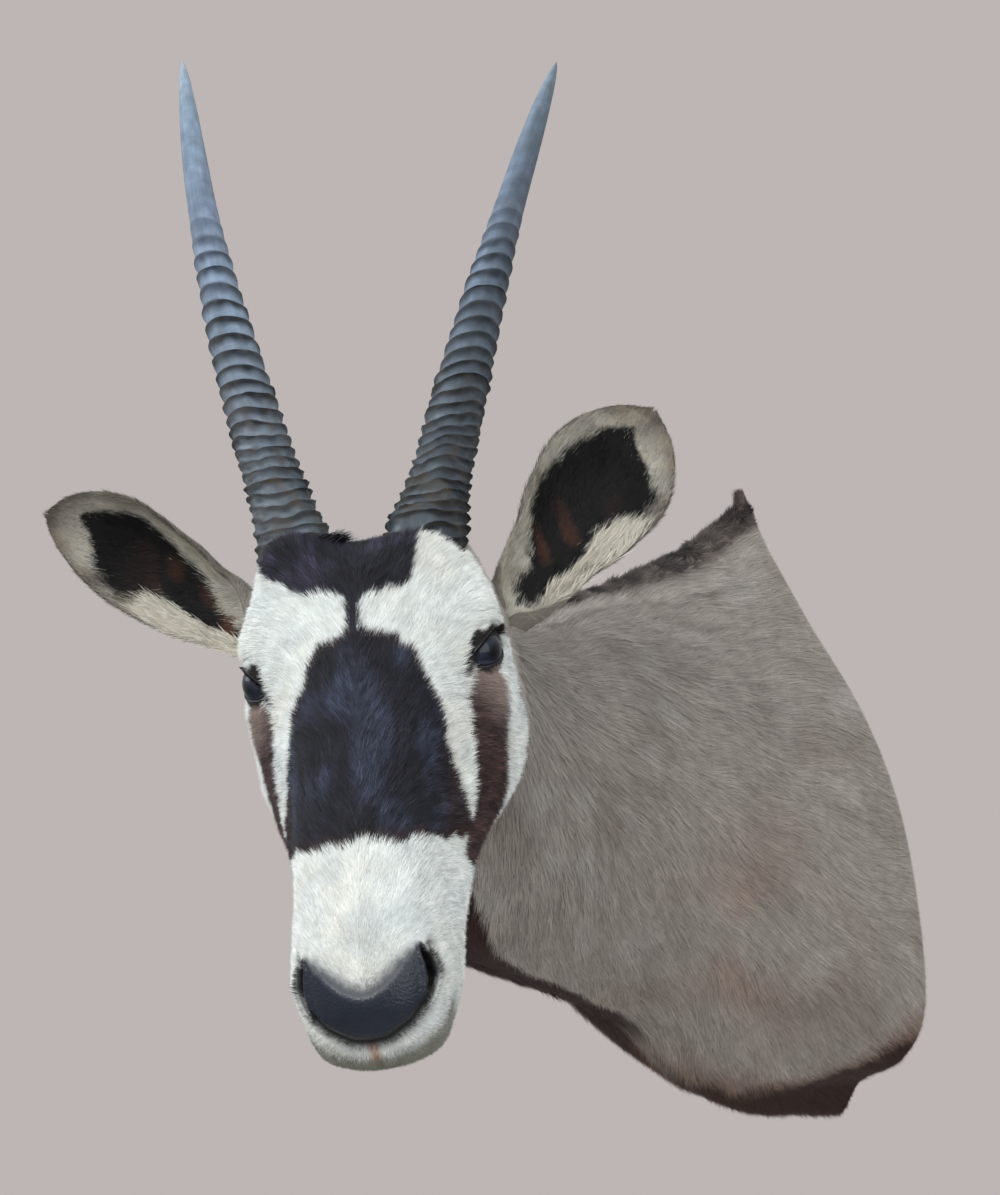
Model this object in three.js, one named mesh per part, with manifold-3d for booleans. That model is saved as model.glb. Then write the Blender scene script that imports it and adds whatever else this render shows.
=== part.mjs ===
import * as THREE from 'three';
import { mergeVertices } from 'three/addons/utils/BufferGeometryUtils.js';
import Module from 'manifold-3d';

// Antelope shoulder mount, millimetres, +Z up.  The wall is the plane y = 0, the animal
// looks out of it towards -Y with its head turned to its own left (+X).  The origin is the
// centre of the back board's rear face.

const wasm = await Module();
wasm.setup();

const GAP = 0.4;                      // clearance between two fitted pieces

// ---- head frame: s runs from the brow to the nose, x to the animal's left, z out of the brow
const BROW = new THREE.Vector3(213, -602, 291);   // middle of the line between the horn bases
const NOSE_TURN = 45;                 // degrees, nose direction turned from -Y towards +X
const NOSE_DROP = 45;                 // degrees, nose below the horizontal

// Half sections of the head.  Columns: s, top z, then (half width, z) at the brow edge,
// the cheek, the jaw and the chin edge, and bottom z.
const HEAD_SECTIONS = [
  [-76, -92, 8, -92, 14, -95, 14, -100, 8, -106, -108],
  [-70, -80, 22, -81, 36, -88, 38, -102, 26, -118, -122],
  [-54, -62, 36, -58, 54, -70, 58, -102, 38, -134, -142],
  [-34, -43, 44, -36, 61, -57, 66, -103, 46, -148, -158],
  [-14, -24, 48, -14, 68, -43, 70, -105, 48, -154, -164],
  [10, 0, 48, 5, 75, -35, 74, -108, 50, -158, -168],
  [36, 9, 46, 6, 80, -31, 79, -114, 52, -159, -170],
  [72, 7, 43, 1, 83, -34, 84, -118, 52, -159, -168],
  [110, 5, 39, -3, 72, -46, 82, -118, 49, -151, -158],
  [150, 4, 35, -5, 61, -47, 73, -108, 42, -138, -144],
  [190, 4, 33, -5, 51, -42, 62, -90, 36, -121, -129],
  [230, 5, 32, -4, 46, -38, 54, -77, 34, -106, -114],
  [272, 5, 32, -3, 44, -36, 50, -68, 33, -94, -101],
  [312, 2, 32, -7, 46, -37, 49, -63, 34, -88, -94],
  [338, -6, 28, -15, 41, -40, 43, -62, 32, -83, -88],
  [356, -18, 22, -26, 34, -45, 36, -61, 26, -76, -80],
  [366, -31, 13, -36, 21, -48, 23, -58, 15, -67, -70],
  [371, -43, 6, -45, 10, -51, 10, -56, 7, -60, -61],
];
const HEAD_RINGS = 25;
const HEAD_SIDES = 24;

// ---- neck: a plan curve from the wall to the poll; columns: share of the curve, crest z,
// throat z, half width, roundness (0 = shoulder outline, 1 = round neck outline)
const NECK_PLAN = [[0, 0], [0, -310], [175, -560]];
const NECK_SECTIONS = [
  [0, 287, -285, 133, 0],
  [0.16, 250, -256, 129, 0.25],
  [0.25, 240, -232, 125, 0.42],
  [0.34, 231, -200, 119, 0.6],
  [0.42, 226, -156, 113, 0.73],
  [0.5, 221, -116, 106, 0.85],
  [0.66, 212, -70, 94, 1],
  [0.8, 222, -38, 84, 1],
  [0.92, 248, -4, 74, 1],
  [1, 260, 40, 60, 1],
  [1.05, 244, 90, 40, 1],
];
// Half outlines of the neck from crest to throat as [share of height, share of half width]
const SHOULDER_OUTLINE = [
  [0, 0], [0.09, 0.19], [0.21, 0.45], [0.35, 0.78], [0.5, 0.97], [0.67, 1.0],
  [0.82, 0.92], [0.9, 0.66], [0.94, 0.27], [1, 0],
];
const ROUND_OUTLINE = [
  [0, 0], [0.03, 0.4], [0.12, 0.7], [0.27, 0.91], [0.46, 1.0], [0.64, 0.94],
  [0.8, 0.77], [0.91, 0.54], [0.98, 0.28], [1, 0],
];
const NECK_RINGS = 17;
const NECK_SIDES = 28;

// ---- horns: base in the head frame, tip in the wall frame, sideways bow in millimetres
const HORN_BASE_R = 26;
const HORN_ROOT = [[-37, 13], [-24, 23.5], [-10, 26]];   // [distance along, radius] let in
const HORN_SIDES = 12;
const HORN_RING_COUNT = 22;
const HORN_RING_END = 0.62;           // share of the length carrying rings
const HORN_TAPER = [                  // [share of length, radius]
  [0, 26], [0.035, 23], [0.08, 20.6], [0.16, 19.6], [0.24, 18.8], [0.32, 17.7], [0.42, 16],
  [0.5, 14.5], [0.62, 12.5], [0.75, 10.9], [0.86, 8.4], [0.94, 5.4], [0.98, 2.8], [1, 0.7],
];
const HORNS = [
  { name: 'horn_left', base: [-12, 46, -15], tip: [-121, -35, 736], bow: -7 },
  { name: 'horn_right', base: [-12, -46, -15], tip: [-370, -293, 798], bow: 13 },
];

// ---- ears: base in the head frame, bend and tip in the wall frame, size of the leaf,
// and the way the cup opens
const EAR_THICK = 3.2;
const EAR_PLUG_R = 18;                // ball at the root, let into the head
const EAR_STEPS = 8;
const EAR_SHARES = [0, 0.08, 0.17, 0.27, 0.38, 0.5, 0.62, 0.74, 0.84, 0.92, 0.97, 1];
const EAR_OPEN = [                    // [share of length, half width across, half wrap angle]
  [0, 15.5, 150], [0.12, 21, 135], [0.28, 27, 105], [0.45, 33, 84], [0.62, 43.5, 70],
  [0.78, 48.5, 60], [0.88, 43.5, 52], [0.94, 33, 45], [0.98, 21, 38], [1, 8, 32],
];
const EARS = [
  { name: 'ear_left', size: 1, base: [2, 84, -97], bend: [29, 23, 40], tip: [251, -347, 354], face: [0.77, -0.6, 0.1] },
  { name: 'ear_right', size: 0.91, base: [-7, -81, -82], bend: [-33, -13, -7], tip: [-29, -697, 346], face: [0.5, -0.75, -0.4] },
];

// ---- eyes, nostrils and mouth, all in the head frame
const EYE_R = 17.5;
const EYE_AT = [80, 68, -43];
const NOSTRIL = [[327, 36, -14], [336, 40, -25], [347, 37, -33], [358, 28, -38]];
const NOSTRIL_R = [2.5, 5, 5.5, 2.5];
const MOUTH = [[290, 50, -84], [318, 48, -82], [340, 42, -77], [355, 31, -72], [363, 15, -69],
  [365, 0, -68]];                     // the line between the lips on the left side, to the middle
const MOUTH_GAP = 1.6;

// ---- back board, hanger and screws
const BOARD = { wide: 190, tall: 350, thick: 18 };
const HANGER = {                      // a plate sunk just below the board's rear face
  wide: 74, tall: 42, thick: 2.5, corner: 7, sunk: 0.6, up: 120,
  hole: 17, entry: 6, slot: 9, rise: 9, room: 9,
};
const SINK = 0.8;                     // every screw head below the board's rear face
const HANGER_SCREW = { r: 2, head: 4, long: 14 };
const BOARD_SCREW = { r: 2.5, head: 5, long: 34, wide: 62, up: 70, down: 95 };

const MATERIALS = {
  hide: { color: 0x968a80, roughness: 0.9 },
  horn: { color: 0x4c5058, roughness: 0.55 },
  ear: { color: 0x9a938b, roughness: 0.9 },
  glass: { color: 0x14161c, roughness: 0.05 },
  plywood: { color: 0xb08d5f, roughness: 0.75 },
  steel: { color: 0x9a9da1, roughness: 0.4, metalness: 1 },
};

// ------------------------------------------------------------------ helpers
const rad = THREE.MathUtils.degToRad;
const AHEAD = new THREE.Vector3(Math.sin(rad(NOSE_TURN)), -Math.cos(rad(NOSE_TURN)), 0);
const LEFT = new THREE.Vector3(Math.cos(rad(NOSE_TURN)), Math.sin(rad(NOSE_TURN)), 0);
const UP = new THREE.Vector3(0, 0, 1);
const ALONG = AHEAD.clone().multiplyScalar(Math.cos(rad(NOSE_DROP)))
  .addScaledVector(UP, -Math.sin(rad(NOSE_DROP)));
const OUT = AHEAD.clone().multiplyScalar(Math.sin(rad(NOSE_DROP)))
  .addScaledVector(UP, Math.cos(rad(NOSE_DROP)));

// A point given in the head frame.
function headPoint(s, x, z) {
  return BROW.clone().addScaledVector(ALONG, s).addScaledVector(LEFT, x)
    .addScaledVector(OUT, z);
}

// The columns of a table at station q, by a cubic through its rows (first column = station).
function tableAt(rows, q) {
  let i = 0;
  while (i < rows.length - 2 && q > rows[i + 1][0]) i += 1;
  const slope = (k, c) => {
    const a = rows[Math.max(k - 1, 0)];
    const b = rows[Math.min(k + 1, rows.length - 1)];
    return (b[c] - a[c]) / (b[0] - a[0]);
  };
  const [p, n] = [rows[i], rows[i + 1]];
  const step = n[0] - p[0];
  const t = (q - p[0]) / step;
  return p.slice(1).map((_, k) => {
    const c = k + 1;
    return (2 * t ** 3 - 3 * t ** 2 + 1) * p[c] + (t ** 3 - 2 * t ** 2 + t) * step * slope(i, c)
      + (3 * t ** 2 - 2 * t ** 3) * n[c] + (t ** 3 - t ** 2) * step * slope(i + 1, c);
  });
}

// A closed smooth loop of count points through half a section [across, height], mirrored.
function mirroredLoop(half, count) {
  const back = half.slice(1, -1).reverse().map(([a, b]) => [-a, b]);
  const points = [...half, ...back].map(([a, b]) => new THREE.Vector3(a, b, 0));
  const curve = new THREE.CatmullRomCurve3(points, true, 'catmullrom', 0.5);
  return Array.from({ length: count }, (_, k) => curve.getPoint(k / count));
}

// A closed body over rings of equal size, each end closed by a fan about its own middle.
function loft(rings) {
  const sides = rings[0].length;
  const points = rings.flat();
  const middle = (ring) => ring.reduce((a, p) => a.add(p), new THREE.Vector3())
    .divideScalar(sides);
  points.push(middle(rings[0]), middle(rings[rings.length - 1]));
  const triangles = [];
  for (let j = 0; j < sides; j += 1) {
    const k = (j + 1) % sides;
    for (let i = 0; i < rings.length - 1; i += 1) {
      const [a, b] = [i * sides + j, i * sides + k];
      triangles.push([a, b, b + sides], [a, b + sides, a + sides]);
    }
    const last = (rings.length - 1) * sides;
    triangles.push([points.length - 2, k, j], [points.length - 1, last + j, last + k]);
  }
  return solid(points, triangles);
}

// A boolean solid from points and triangles, turned to face outwards.
function solid(points, triangles) {
  const volume = triangles.reduce((sum, [a, b, c]) => sum
    + points[a].dot(new THREE.Vector3().crossVectors(points[b], points[c])), 0);
  const faces = volume < 0 ? triangles.map(([a, b, c]) => [a, c, b]) : triangles;
  return new wasm.Manifold(new wasm.Mesh({
    numProp: 3,
    vertProperties: new Float32Array(points.flatMap((p) => p.toArray())),
    triVerts: new Uint32Array(faces.flat()),
  }));
}

// A boolean solid from a three.js geometry, after a placement.
function solidOf(geometry, placement = new THREE.Matrix4()) {
  const bare = new THREE.BufferGeometry();
  bare.setAttribute('position', geometry.attributes.position);
  if (geometry.index) bare.setIndex(geometry.index);
  const merged = mergeVertices(bare.applyMatrix4(placement), 1e-4);
  const p = merged.attributes.position;
  const points = Array.from({ length: p.count },
    (_, i) => new THREE.Vector3().fromBufferAttribute(p, i));
  const index = merged.index.array;
  const triangles = [];
  for (let i = 0; i < index.length; i += 3) {
    const [a, b, c] = [index[i], index[i + 1], index[i + 2]];
    if (a !== b && b !== c && c !== a) triangles.push([a, b, c]);
  }
  return solid(points, triangles);
}

// A ball, and a rod between two points.
function ball(centre, radius, detail = 2) {
  const place = new THREE.Matrix4().setPosition(centre);
  return solidOf(new THREE.IcosahedronGeometry(radius, detail), place);
}

function rod(from, to, radius, sides = 24, endRadius = radius) {
  const axis = to.clone().sub(from);
  const turn = new THREE.Quaternion()
    .setFromUnitVectors(new THREE.Vector3(0, 1, 0), axis.clone().normalize());
  const centre = from.clone().lerp(to, 0.5);
  const place = new THREE.Matrix4().compose(centre, turn, new THREE.Vector3(1, 1, 1));
  return solidOf(new THREE.CylinderGeometry(endRadius, radius, axis.length(), sides), place);
}

// A round-section tube through points with a radius at each.
function tube(points, radii, sides = 12) {
  return loft(points.map((p, i) => {
    const ahead = points[Math.min(i + 1, points.length - 1)].clone()
      .sub(points[Math.max(i - 1, 0)]).normalize();
    const across = new THREE.Vector3().crossVectors(ahead, LEFT).normalize();
    const up = new THREE.Vector3().crossVectors(ahead, across);
    return Array.from({ length: sides }, (_, k) => {
      const a = (2 * Math.PI * k) / sides;
      return p.clone().addScaledVector(across, radii[i] * Math.cos(a))
        .addScaledVector(up, radii[i] * Math.sin(a));
    });
  }));
}

// ------------------------------------------------------------------ hide on its form
function headSolid(grow = 0) {
  const numbered = HEAD_SECTIONS.map((row, i) => [i, ...row]);
  const rings = [];
  for (let i = 0; i < HEAD_RINGS; i += 1) {
    const q = ((numbered.length - 1) * i) / (HEAD_RINGS - 1);
    const [s, top, w1, z1, w2, z2, w3, z3, w4, z4, bottom] = tableAt(numbered, q);
    const half = [[0, top], [w1, z1], [w2, z2], [w3, z3], [w4, z4], [0, bottom]];
    const middle = (top + bottom) / 2;
    rings.push(mirroredLoop(half, HEAD_SIDES).map(({ x, y }) => headPoint(s,
      x + grow * Math.sign(x), y + grow * Math.sign(y - middle))));
  }
  return loft(rings);
}

function neckPlan(t) {
  const [a, b, c] = NECK_PLAN.map(([x, y]) => new THREE.Vector3(x, y, 0));
  const at = a.clone().multiplyScalar((1 - t) ** 2).addScaledVector(b, 2 * t * (1 - t))
    .addScaledVector(c, t * t);
  const ahead = b.clone().sub(a).multiplyScalar(1 - t).addScaledVector(c.clone().sub(b), t)
    .normalize();
  return { at, left: new THREE.Vector3(-ahead.y, ahead.x, 0) };
}

function neckSolid(grow = 0) {
  const rings = [];
  const last = NECK_SECTIONS[NECK_SECTIONS.length - 1][0];
  for (let i = 0; i < NECK_RINGS; i += 1) {
    const t = (last * i) / (NECK_RINGS - 1);
    const { at, left } = neckPlan(t);
    const [crest, throat, wide, round] = tableAt(NECK_SECTIONS, t);
    const half = SHOULDER_OUTLINE.map(([q, w], k) => {
      const [q1, w1] = ROUND_OUTLINE[k];
      return [
        THREE.MathUtils.lerp(w, w1, round) * (wide + grow),
        THREE.MathUtils.lerp(crest + grow, throat - grow, THREE.MathUtils.lerp(q, q1, round)),
      ];
    });
    rings.push(mirroredLoop(half, NECK_SIDES)
      .map(({ x, y }) => at.clone().addScaledVector(left, x).setZ(y)));
  }
  return loft(rings);
}

// The slit between the lips: a thin band that follows the lips round the front.
function mouthSolid() {
  const line = [...MOUTH, ...MOUTH.slice(0, -1).reverse().map(([s, x, z]) => [s, -x, z])];
  return loft(line.map(([s, x, z], i) => {
    const [a, b] = [line[Math.max(i - 1, 0)], line[Math.min(i + 1, line.length - 1)]];
    const [ds, dx] = [b[0] - a[0], b[1] - a[1]];
    const size = Math.hypot(ds, dx);
    const [outS, outX] = [-dx / size, ds / size];
    return [[-5, -1], [12, -1], [12, 1], [-5, 1]].map(([reach, side]) => headPoint(
      s + outS * reach, x + outX * reach, z + (side * MOUTH_GAP) / 2));
  }));
}

// A nostril: a bent pocket let in beside the nose pad.
function nostrilSolid(side) {
  return tube(NOSTRIL.map(([s, x, z]) => headPoint(s, side * x, z)), NOSTRIL_R);
}

// ------------------------------------------------------------------ horns
function hornLine({ base, tip, bow }) {
  const from = headPoint(...base);
  const to = new THREE.Vector3(...tip);
  const axis = to.clone().sub(from);
  const side = LEFT.clone().addScaledVector(axis, -LEFT.dot(axis) / axis.lengthSq())
    .normalize().multiplyScalar(base[1] < 0 ? -1 : 1);
  const at = (h) => from.clone().addScaledVector(axis, h)
    .addScaledVector(side, bow * Math.sin(Math.PI * Math.min(Math.max(h, 0), 1)));
  const ahead = axis.clone().normalize();
  return { at, ahead, side, up: new THREE.Vector3().crossVectors(ahead, side), long: axis.length() };
}

function hornRing(line, h, radius) {
  const centre = line.at(h);
  return Array.from({ length: HORN_SIDES }, (_, k) => {
    const a = (2 * Math.PI * k) / HORN_SIDES;
    return centre.clone().addScaledVector(line.side, radius * Math.cos(a))
      .addScaledVector(line.up, radius * Math.sin(a));
  });
}

function hornSolid(horn) {
  const line = hornLine(horn);
  const rings = HORN_ROOT.map(([at, radius]) => hornRing(line, at / line.long, radius));
  for (let k = 0; k <= HORN_RING_COUNT; k += 1) {
    const ridge = HORN_RING_END * (k / HORN_RING_COUNT) ** 1.25;
    const next = HORN_RING_END * ((k + 0.55) / HORN_RING_COUNT) ** 1.25;
    const depth = 1.9 * (1 - (k / (HORN_RING_COUNT + 1)) ** 2);
    rings.push(hornRing(line, ridge, tableAt(HORN_TAPER, ridge)[0]));
    rings.push(hornRing(line, next, tableAt(HORN_TAPER, next)[0] - depth));
  }
  for (const h of [0.72, 0.79, 0.85, 0.9, 0.94, 0.97, 0.99, 1]) {
    rings.push(hornRing(line, h, tableAt(HORN_TAPER, h)[0]));
  }
  return loft(rings);
}

// The hole a horn's root stands in, clear of it all round.
function hornPocket(horn) {
  const line = hornLine(horn);
  const room = GAP / Math.cos(Math.PI / HORN_SIDES);
  const [start, narrow] = HORN_ROOT[0];
  const mouth = [0, 0.02, 0.04, 0.06, 0.08, 0.1].map((h) => [h * line.long, HORN_BASE_R]);
  return loft([[start - GAP, narrow], ...HORN_ROOT, ...mouth]
    .map(([at, radius]) => hornRing(line, at / line.long, radius + room)));
}

// ------------------------------------------------------------------ ears
// A cupped leaf: arcs across the reach, wrapped nearly closed at the root and flat at the tip.
function earLeaf({ size, base, bend, tip, face }) {
  const from = headPoint(...base);
  const middle = from.clone().add(new THREE.Vector3(...bend));
  const line = new THREE.QuadraticBezierCurve3(from, middle, new THREE.Vector3(...tip));
  const rings = [];
  for (const u of EAR_SHARES) {
    const [full, wrap] = tableAt(EAR_OPEN, u);
    const wide = full * size;
    const ahead = line.getTangent(u);
    const open = new THREE.Vector3(...face);
    open.addScaledVector(ahead, -open.dot(ahead)).normalize();
    const across = new THREE.Vector3().crossVectors(ahead, open);
    const angle = rad(wrap);
    const radius = wide / Math.sin(Math.min(angle, Math.PI / 2));
    const centre = line.getPoint(u).addScaledVector(open,
      -0.35 * wide + radius * Math.cos(Math.min(angle, Math.PI / 2)));
    const arc = (r) => Array.from({ length: EAR_STEPS + 1 }, (_, k) => {
      const a = angle * ((2 * k) / EAR_STEPS - 1);
      return centre.clone().addScaledVector(across, r * Math.sin(a))
        .addScaledVector(open, -r * Math.cos(a));
    });
    const thick = EAR_THICK * (u > 0.95 ? 0.6 : 1);
    rings.push([...arc(radius), ...arc(radius - thick).reverse()]);
  }
  return loft(rings);
}

// ------------------------------------------------------------------ back board and hanger
function eggShape(wide, tall, inset = 0) {
  const shape = new THREE.Shape();
  const [w, h] = [wide / 2 - inset, tall / 2 - inset];
  const count = 22;
  for (let k = 0; k < count; k += 1) {
    const a = (2 * Math.PI * k) / count;
    const narrow = 1 - 0.22 * Math.max(0, Math.cos(a)) ** 2;
    const x = w * narrow * Math.sign(Math.sin(a)) * Math.abs(Math.sin(a)) ** 0.8;
    const y = h * Math.sign(Math.cos(a)) * Math.abs(Math.cos(a)) ** 0.9;
    if (k === 0) shape.moveTo(x, y); else shape.lineTo(x, y);
  }
  return shape;
}

// A flat shape drawn as seen from the animal's side (x, z), standing from y = back to front.
function upright(shape, back, thick) {
  const place = new THREE.Matrix4().makeRotationX(Math.PI / 2).setPosition(0, back, 0);
  const raised = new THREE.ExtrudeGeometry(shape, {
    depth: thick, bevelEnabled: false, curveSegments: 5 });
  return solidOf(raised, place);
}

// The keyhole's outline: a round entry with a slot above it, let out by grow all round.
function keyOutline(path, grow) {
  const { slot, hole, up, entry, rise } = HANGER;
  const [k, s] = [hole / 2 + grow, slot / 2 + grow];
  const lean = Math.asin(s / k);
  const low = up - entry;
  path.moveTo(s, low + Math.sqrt(k * k - s * s));
  path.lineTo(s, up + rise);
  path.absarc(0, up + rise, s, 0, Math.PI, false);
  path.lineTo(-s, low + Math.sqrt(k * k - s * s));
  path.absarc(0, low, k, Math.PI / 2 + lean, 2.5 * Math.PI - lean, false);
  return path;
}

function hangerShape() {
  const { wide, tall, corner: r, up } = HANGER;
  const shape = new THREE.Shape();
  const [w, h] = [wide / 2 - r, tall / 2 - r];
  shape.moveTo(-w, up - h - r);
  shape.absarc(w, up - h, r, -Math.PI / 2, 0, false);
  shape.absarc(w, up + h, r, 0, Math.PI / 2, false);
  shape.absarc(-w, up + h, r, Math.PI / 2, Math.PI, false);
  shape.absarc(-w, up - h, r, Math.PI, 1.5 * Math.PI, false);
  shape.holes.push(keyOutline(new THREE.Path(), 0));
  return shape;
}

// A countersunk screw driven forwards from y = back.
function screwSolid(x, z, back, { r, head, long }) {
  const profile = [[0, 0], [head, 0], [head, 0.6], [r, 0.6 + head - r], [r, long - 4],
    [0.3, long], [0, long]].map(([a, b]) => new THREE.Vector2(a, b));
  const place = new THREE.Matrix4().makeRotationX(Math.PI).setPosition(x, back, z);
  return solidOf(new THREE.LatheGeometry(profile, 10), place);
}

function screwRoom(x, z, back, { r, head, long }) {
  const at = (y) => new THREE.Vector3(x, y, z);
  return rod(at(back + 3), at(back - 0.6 - (head - r) - GAP), head + GAP, 10)
    .add(rod(at(back), at(back - long - GAP), r + GAP, 10));
}

// ------------------------------------------------------------------ assembly
function node(name, body, material) {
  const mesh = body.getMesh();
  const geometry = new THREE.BufferGeometry();
  geometry.setAttribute('position', new THREE.BufferAttribute(new Float32Array(mesh.vertProperties), 3));
  geometry.setIndex(new THREE.BufferAttribute(new Uint32Array(mesh.triVerts), 1));
  geometry.computeVertexNormals();
  const made = new THREE.Mesh(geometry, new THREE.MeshStandardMaterial(MATERIALS[material]));
  made.name = name;
  return made;
}

const group = new THREE.Group();
group.name = 'antelope_shoulder_mount';

let hide = headSolid().add(neckSolid());
const grown = headSolid(GAP).add(neckSolid(GAP));

for (const side of [1, -1]) {
  const [s, x, z] = EYE_AT;
  const centre = headPoint(s, side * x, z);
  hide = hide.subtract(ball(centre, EYE_R + GAP)).subtract(nostrilSolid(side));
  group.add(node(side > 0 ? 'eye_left' : 'eye_right', ball(centre, EYE_R), 'glass'));
}
hide = hide.subtract(mouthSolid());

for (const horn of HORNS) {
  hide = hide.subtract(hornPocket(horn));
  group.add(node(horn.name, hornSolid(horn), 'horn'));
}

for (const ear of EARS) {
  const root = headPoint(...ear.base);
  hide = hide.subtract(ball(root, EAR_PLUG_R + GAP));
  const leaf = earLeaf(ear).subtract(grown).add(ball(root, EAR_PLUG_R));
  group.add(node(ear.name, leaf, 'ear'));
}

const hangerScrews = [[-26, HANGER.up], [26, HANGER.up]];
const boardScrews = [[-1, 1], [1, 1], [-1, -1], [1, -1]].map(([x, z]) => [
  x * BOARD_SCREW.wide, z > 0 ? BOARD_SCREW.up : -BOARD_SCREW.down]);
const boardPocket = upright(eggShape(BOARD.wide, BOARD.tall, -GAP), 0.1, BOARD.thick + GAP + 0.1);
hide = hide.subtract(boardPocket);

const { wide, tall, thick, sunk, up, room } = HANGER;
let hanger = upright(hangerShape(), -sunk, thick);
const recess = solidOf(new THREE.BoxGeometry(wide + 2 * GAP, 12, tall + 2 * GAP),
  new THREE.Matrix4().setPosition(0, 6 - sunk - thick - GAP, up));
const headRoom = upright(keyOutline(new THREE.Shape(), 1), -1, sunk + thick + room);
let board = upright(eggShape(BOARD.wide, BOARD.tall), 0, BOARD.thick)
  .subtract(recess).subtract(headRoom);

for (const [k, [x, z]] of hangerScrews.entries()) {
  hanger = hanger.subtract(screwRoom(x, z, -SINK, HANGER_SCREW));
  board = board.subtract(screwRoom(x, z, -SINK, HANGER_SCREW));
  group.add(node(`hanger_screw_${k + 1}`, screwSolid(x, z, -SINK, HANGER_SCREW), 'steel'));
}
for (const [k, [x, z]] of boardScrews.entries()) {
  board = board.subtract(screwRoom(x, z, -SINK, BOARD_SCREW));
  hide = hide.subtract(screwRoom(x, z, -SINK, BOARD_SCREW));
  group.add(node(`board_screw_${k + 1}`, screwSolid(x, z, -SINK, BOARD_SCREW), 'steel'));
}
group.add(node('back_board', board, 'plywood'));
group.add(node('hanger_plate', hanger, 'steel'));
group.add(node('hide_on_form', hide, 'hide'));

export default group;
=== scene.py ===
import math

import bpy
import numpy as np
from mathutils import Matrix, Vector

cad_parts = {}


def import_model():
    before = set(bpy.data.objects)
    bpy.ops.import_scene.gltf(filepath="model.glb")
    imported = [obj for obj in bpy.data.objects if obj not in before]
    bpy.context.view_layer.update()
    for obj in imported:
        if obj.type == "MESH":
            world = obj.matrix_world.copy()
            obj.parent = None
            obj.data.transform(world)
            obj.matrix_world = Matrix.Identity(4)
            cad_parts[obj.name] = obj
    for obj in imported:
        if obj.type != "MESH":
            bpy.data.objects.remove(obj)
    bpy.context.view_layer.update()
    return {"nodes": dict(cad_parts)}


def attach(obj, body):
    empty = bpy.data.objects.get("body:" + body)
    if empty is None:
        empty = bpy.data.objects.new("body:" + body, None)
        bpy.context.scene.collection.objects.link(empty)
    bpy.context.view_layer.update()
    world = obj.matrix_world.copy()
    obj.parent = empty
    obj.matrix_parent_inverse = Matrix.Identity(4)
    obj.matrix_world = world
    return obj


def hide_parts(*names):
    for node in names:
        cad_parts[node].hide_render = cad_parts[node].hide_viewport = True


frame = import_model()

# Gemsbok shoulder mount: tanned hide over a form, horns, glass eyes and a plywood back board.
# Shapes are worked out in millimetres and put into the meshes in metres, +Z up, wall at y = 0.
MM = 0.001
FUR_SHARE = 1.0

# ------------------------------------------------------------------ small maths


def unit(v):
    """Each vector divided by its own length."""
    v = np.asarray(v, float)
    return v / np.maximum(np.linalg.norm(v, axis=-1, keepdims=True), 1e-9)


def ramp(low, high, x):
    """0 below low, 1 above high, and a smooth step 3t^2 - 2t^3 between them."""
    t = np.clip((np.asarray(x, float) - low) / (high - low), 0, 1)
    return t * t * (3 - 2 * t)


def mix(a, b, t):
    """a where t is 0, b where t is 1."""
    return a + (b - a) * t


def bell(distance, radius):
    """A round hill: e to the power of minus (distance / radius) squared."""
    return np.exp(-((distance / radius) ** 2))


def past(edge, x, soft):
    """1 where x is past an edge and 0 before it, with a smooth step of twice soft between."""
    return ramp(edge - soft, edge + soft, x)


def before(edge, x, soft):
    """1 where x is before an edge and 0 past it, with a smooth step of twice soft between."""
    return ramp(edge + soft, edge - soft, x)


def detail(full):
    return full


def tint(red, green, blue):
    """A display colour from 0 to 255 as a linear one, with the display's power curve."""
    c = np.array([red, green, blue]) / 255
    return np.where(c < 0.04045, c / 12.92, ((c + 0.055) / 1.055) ** 2.4)


LATTICE = np.random.default_rng(11).random(65536) * 2 - 1


def noise(p, size, seed=0):
    """Value noise: random numbers from -1 to 1 on a cubic lattice, blended by smooth steps."""
    q = np.asarray(p, float) / size + 31.7 * seed
    low = np.floor(q).astype(np.int64)
    f = q - low
    f = f * f * (3 - 2 * f)
    total = np.zeros(q.shape[:-1])
    for i, j, k in np.ndindex(2, 2, 2):
        key = ((low[..., 0] + i) * 73856093) ^ ((low[..., 1] + j) * 19349663)
        key = (key ^ ((low[..., 2] + k) * 83492791)) & 65535
        share = (f[..., 0] if i else 1 - f[..., 0]) * (f[..., 1] if j else 1 - f[..., 1])
        total += share * (f[..., 2] if k else 1 - f[..., 2]) * LATTICE[key]
    return total


def streaks(p, flow, size, reach, seed=0):
    """Noise drawn out along a direction: five samples spaced along it, summed over 2.6."""
    return sum(noise(p + flow * (k * reach), size, seed) for k in (-2, -1, 0, 1, 2)) / 2.6


def rows_at(knots, rows, q):
    """A cubic through a table's rows, whose slope at a row is that of the chord past it."""
    count = len(knots)
    low, high = np.maximum(np.arange(count) - 1, 0), np.minimum(np.arange(count) + 1, count - 1)
    slope = (rows[high] - rows[low]) / (knots[high] - knots[low])[:, None]
    i = np.clip(np.searchsorted(knots, q, side="right") - 1, 0, count - 2)
    step = (knots[i + 1] - knots[i])[:, None]
    t = (q - knots[i])[:, None] / step
    return (
        (2 * t**3 - 3 * t**2 + 1) * rows[i]
        + (t**3 - 2 * t**2 + t) * step * slope[i]
        + (3 * t**2 - 2 * t**3) * rows[i + 1]
        + (t**3 - t**2) * step * slope[i + 1]
    )


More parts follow.
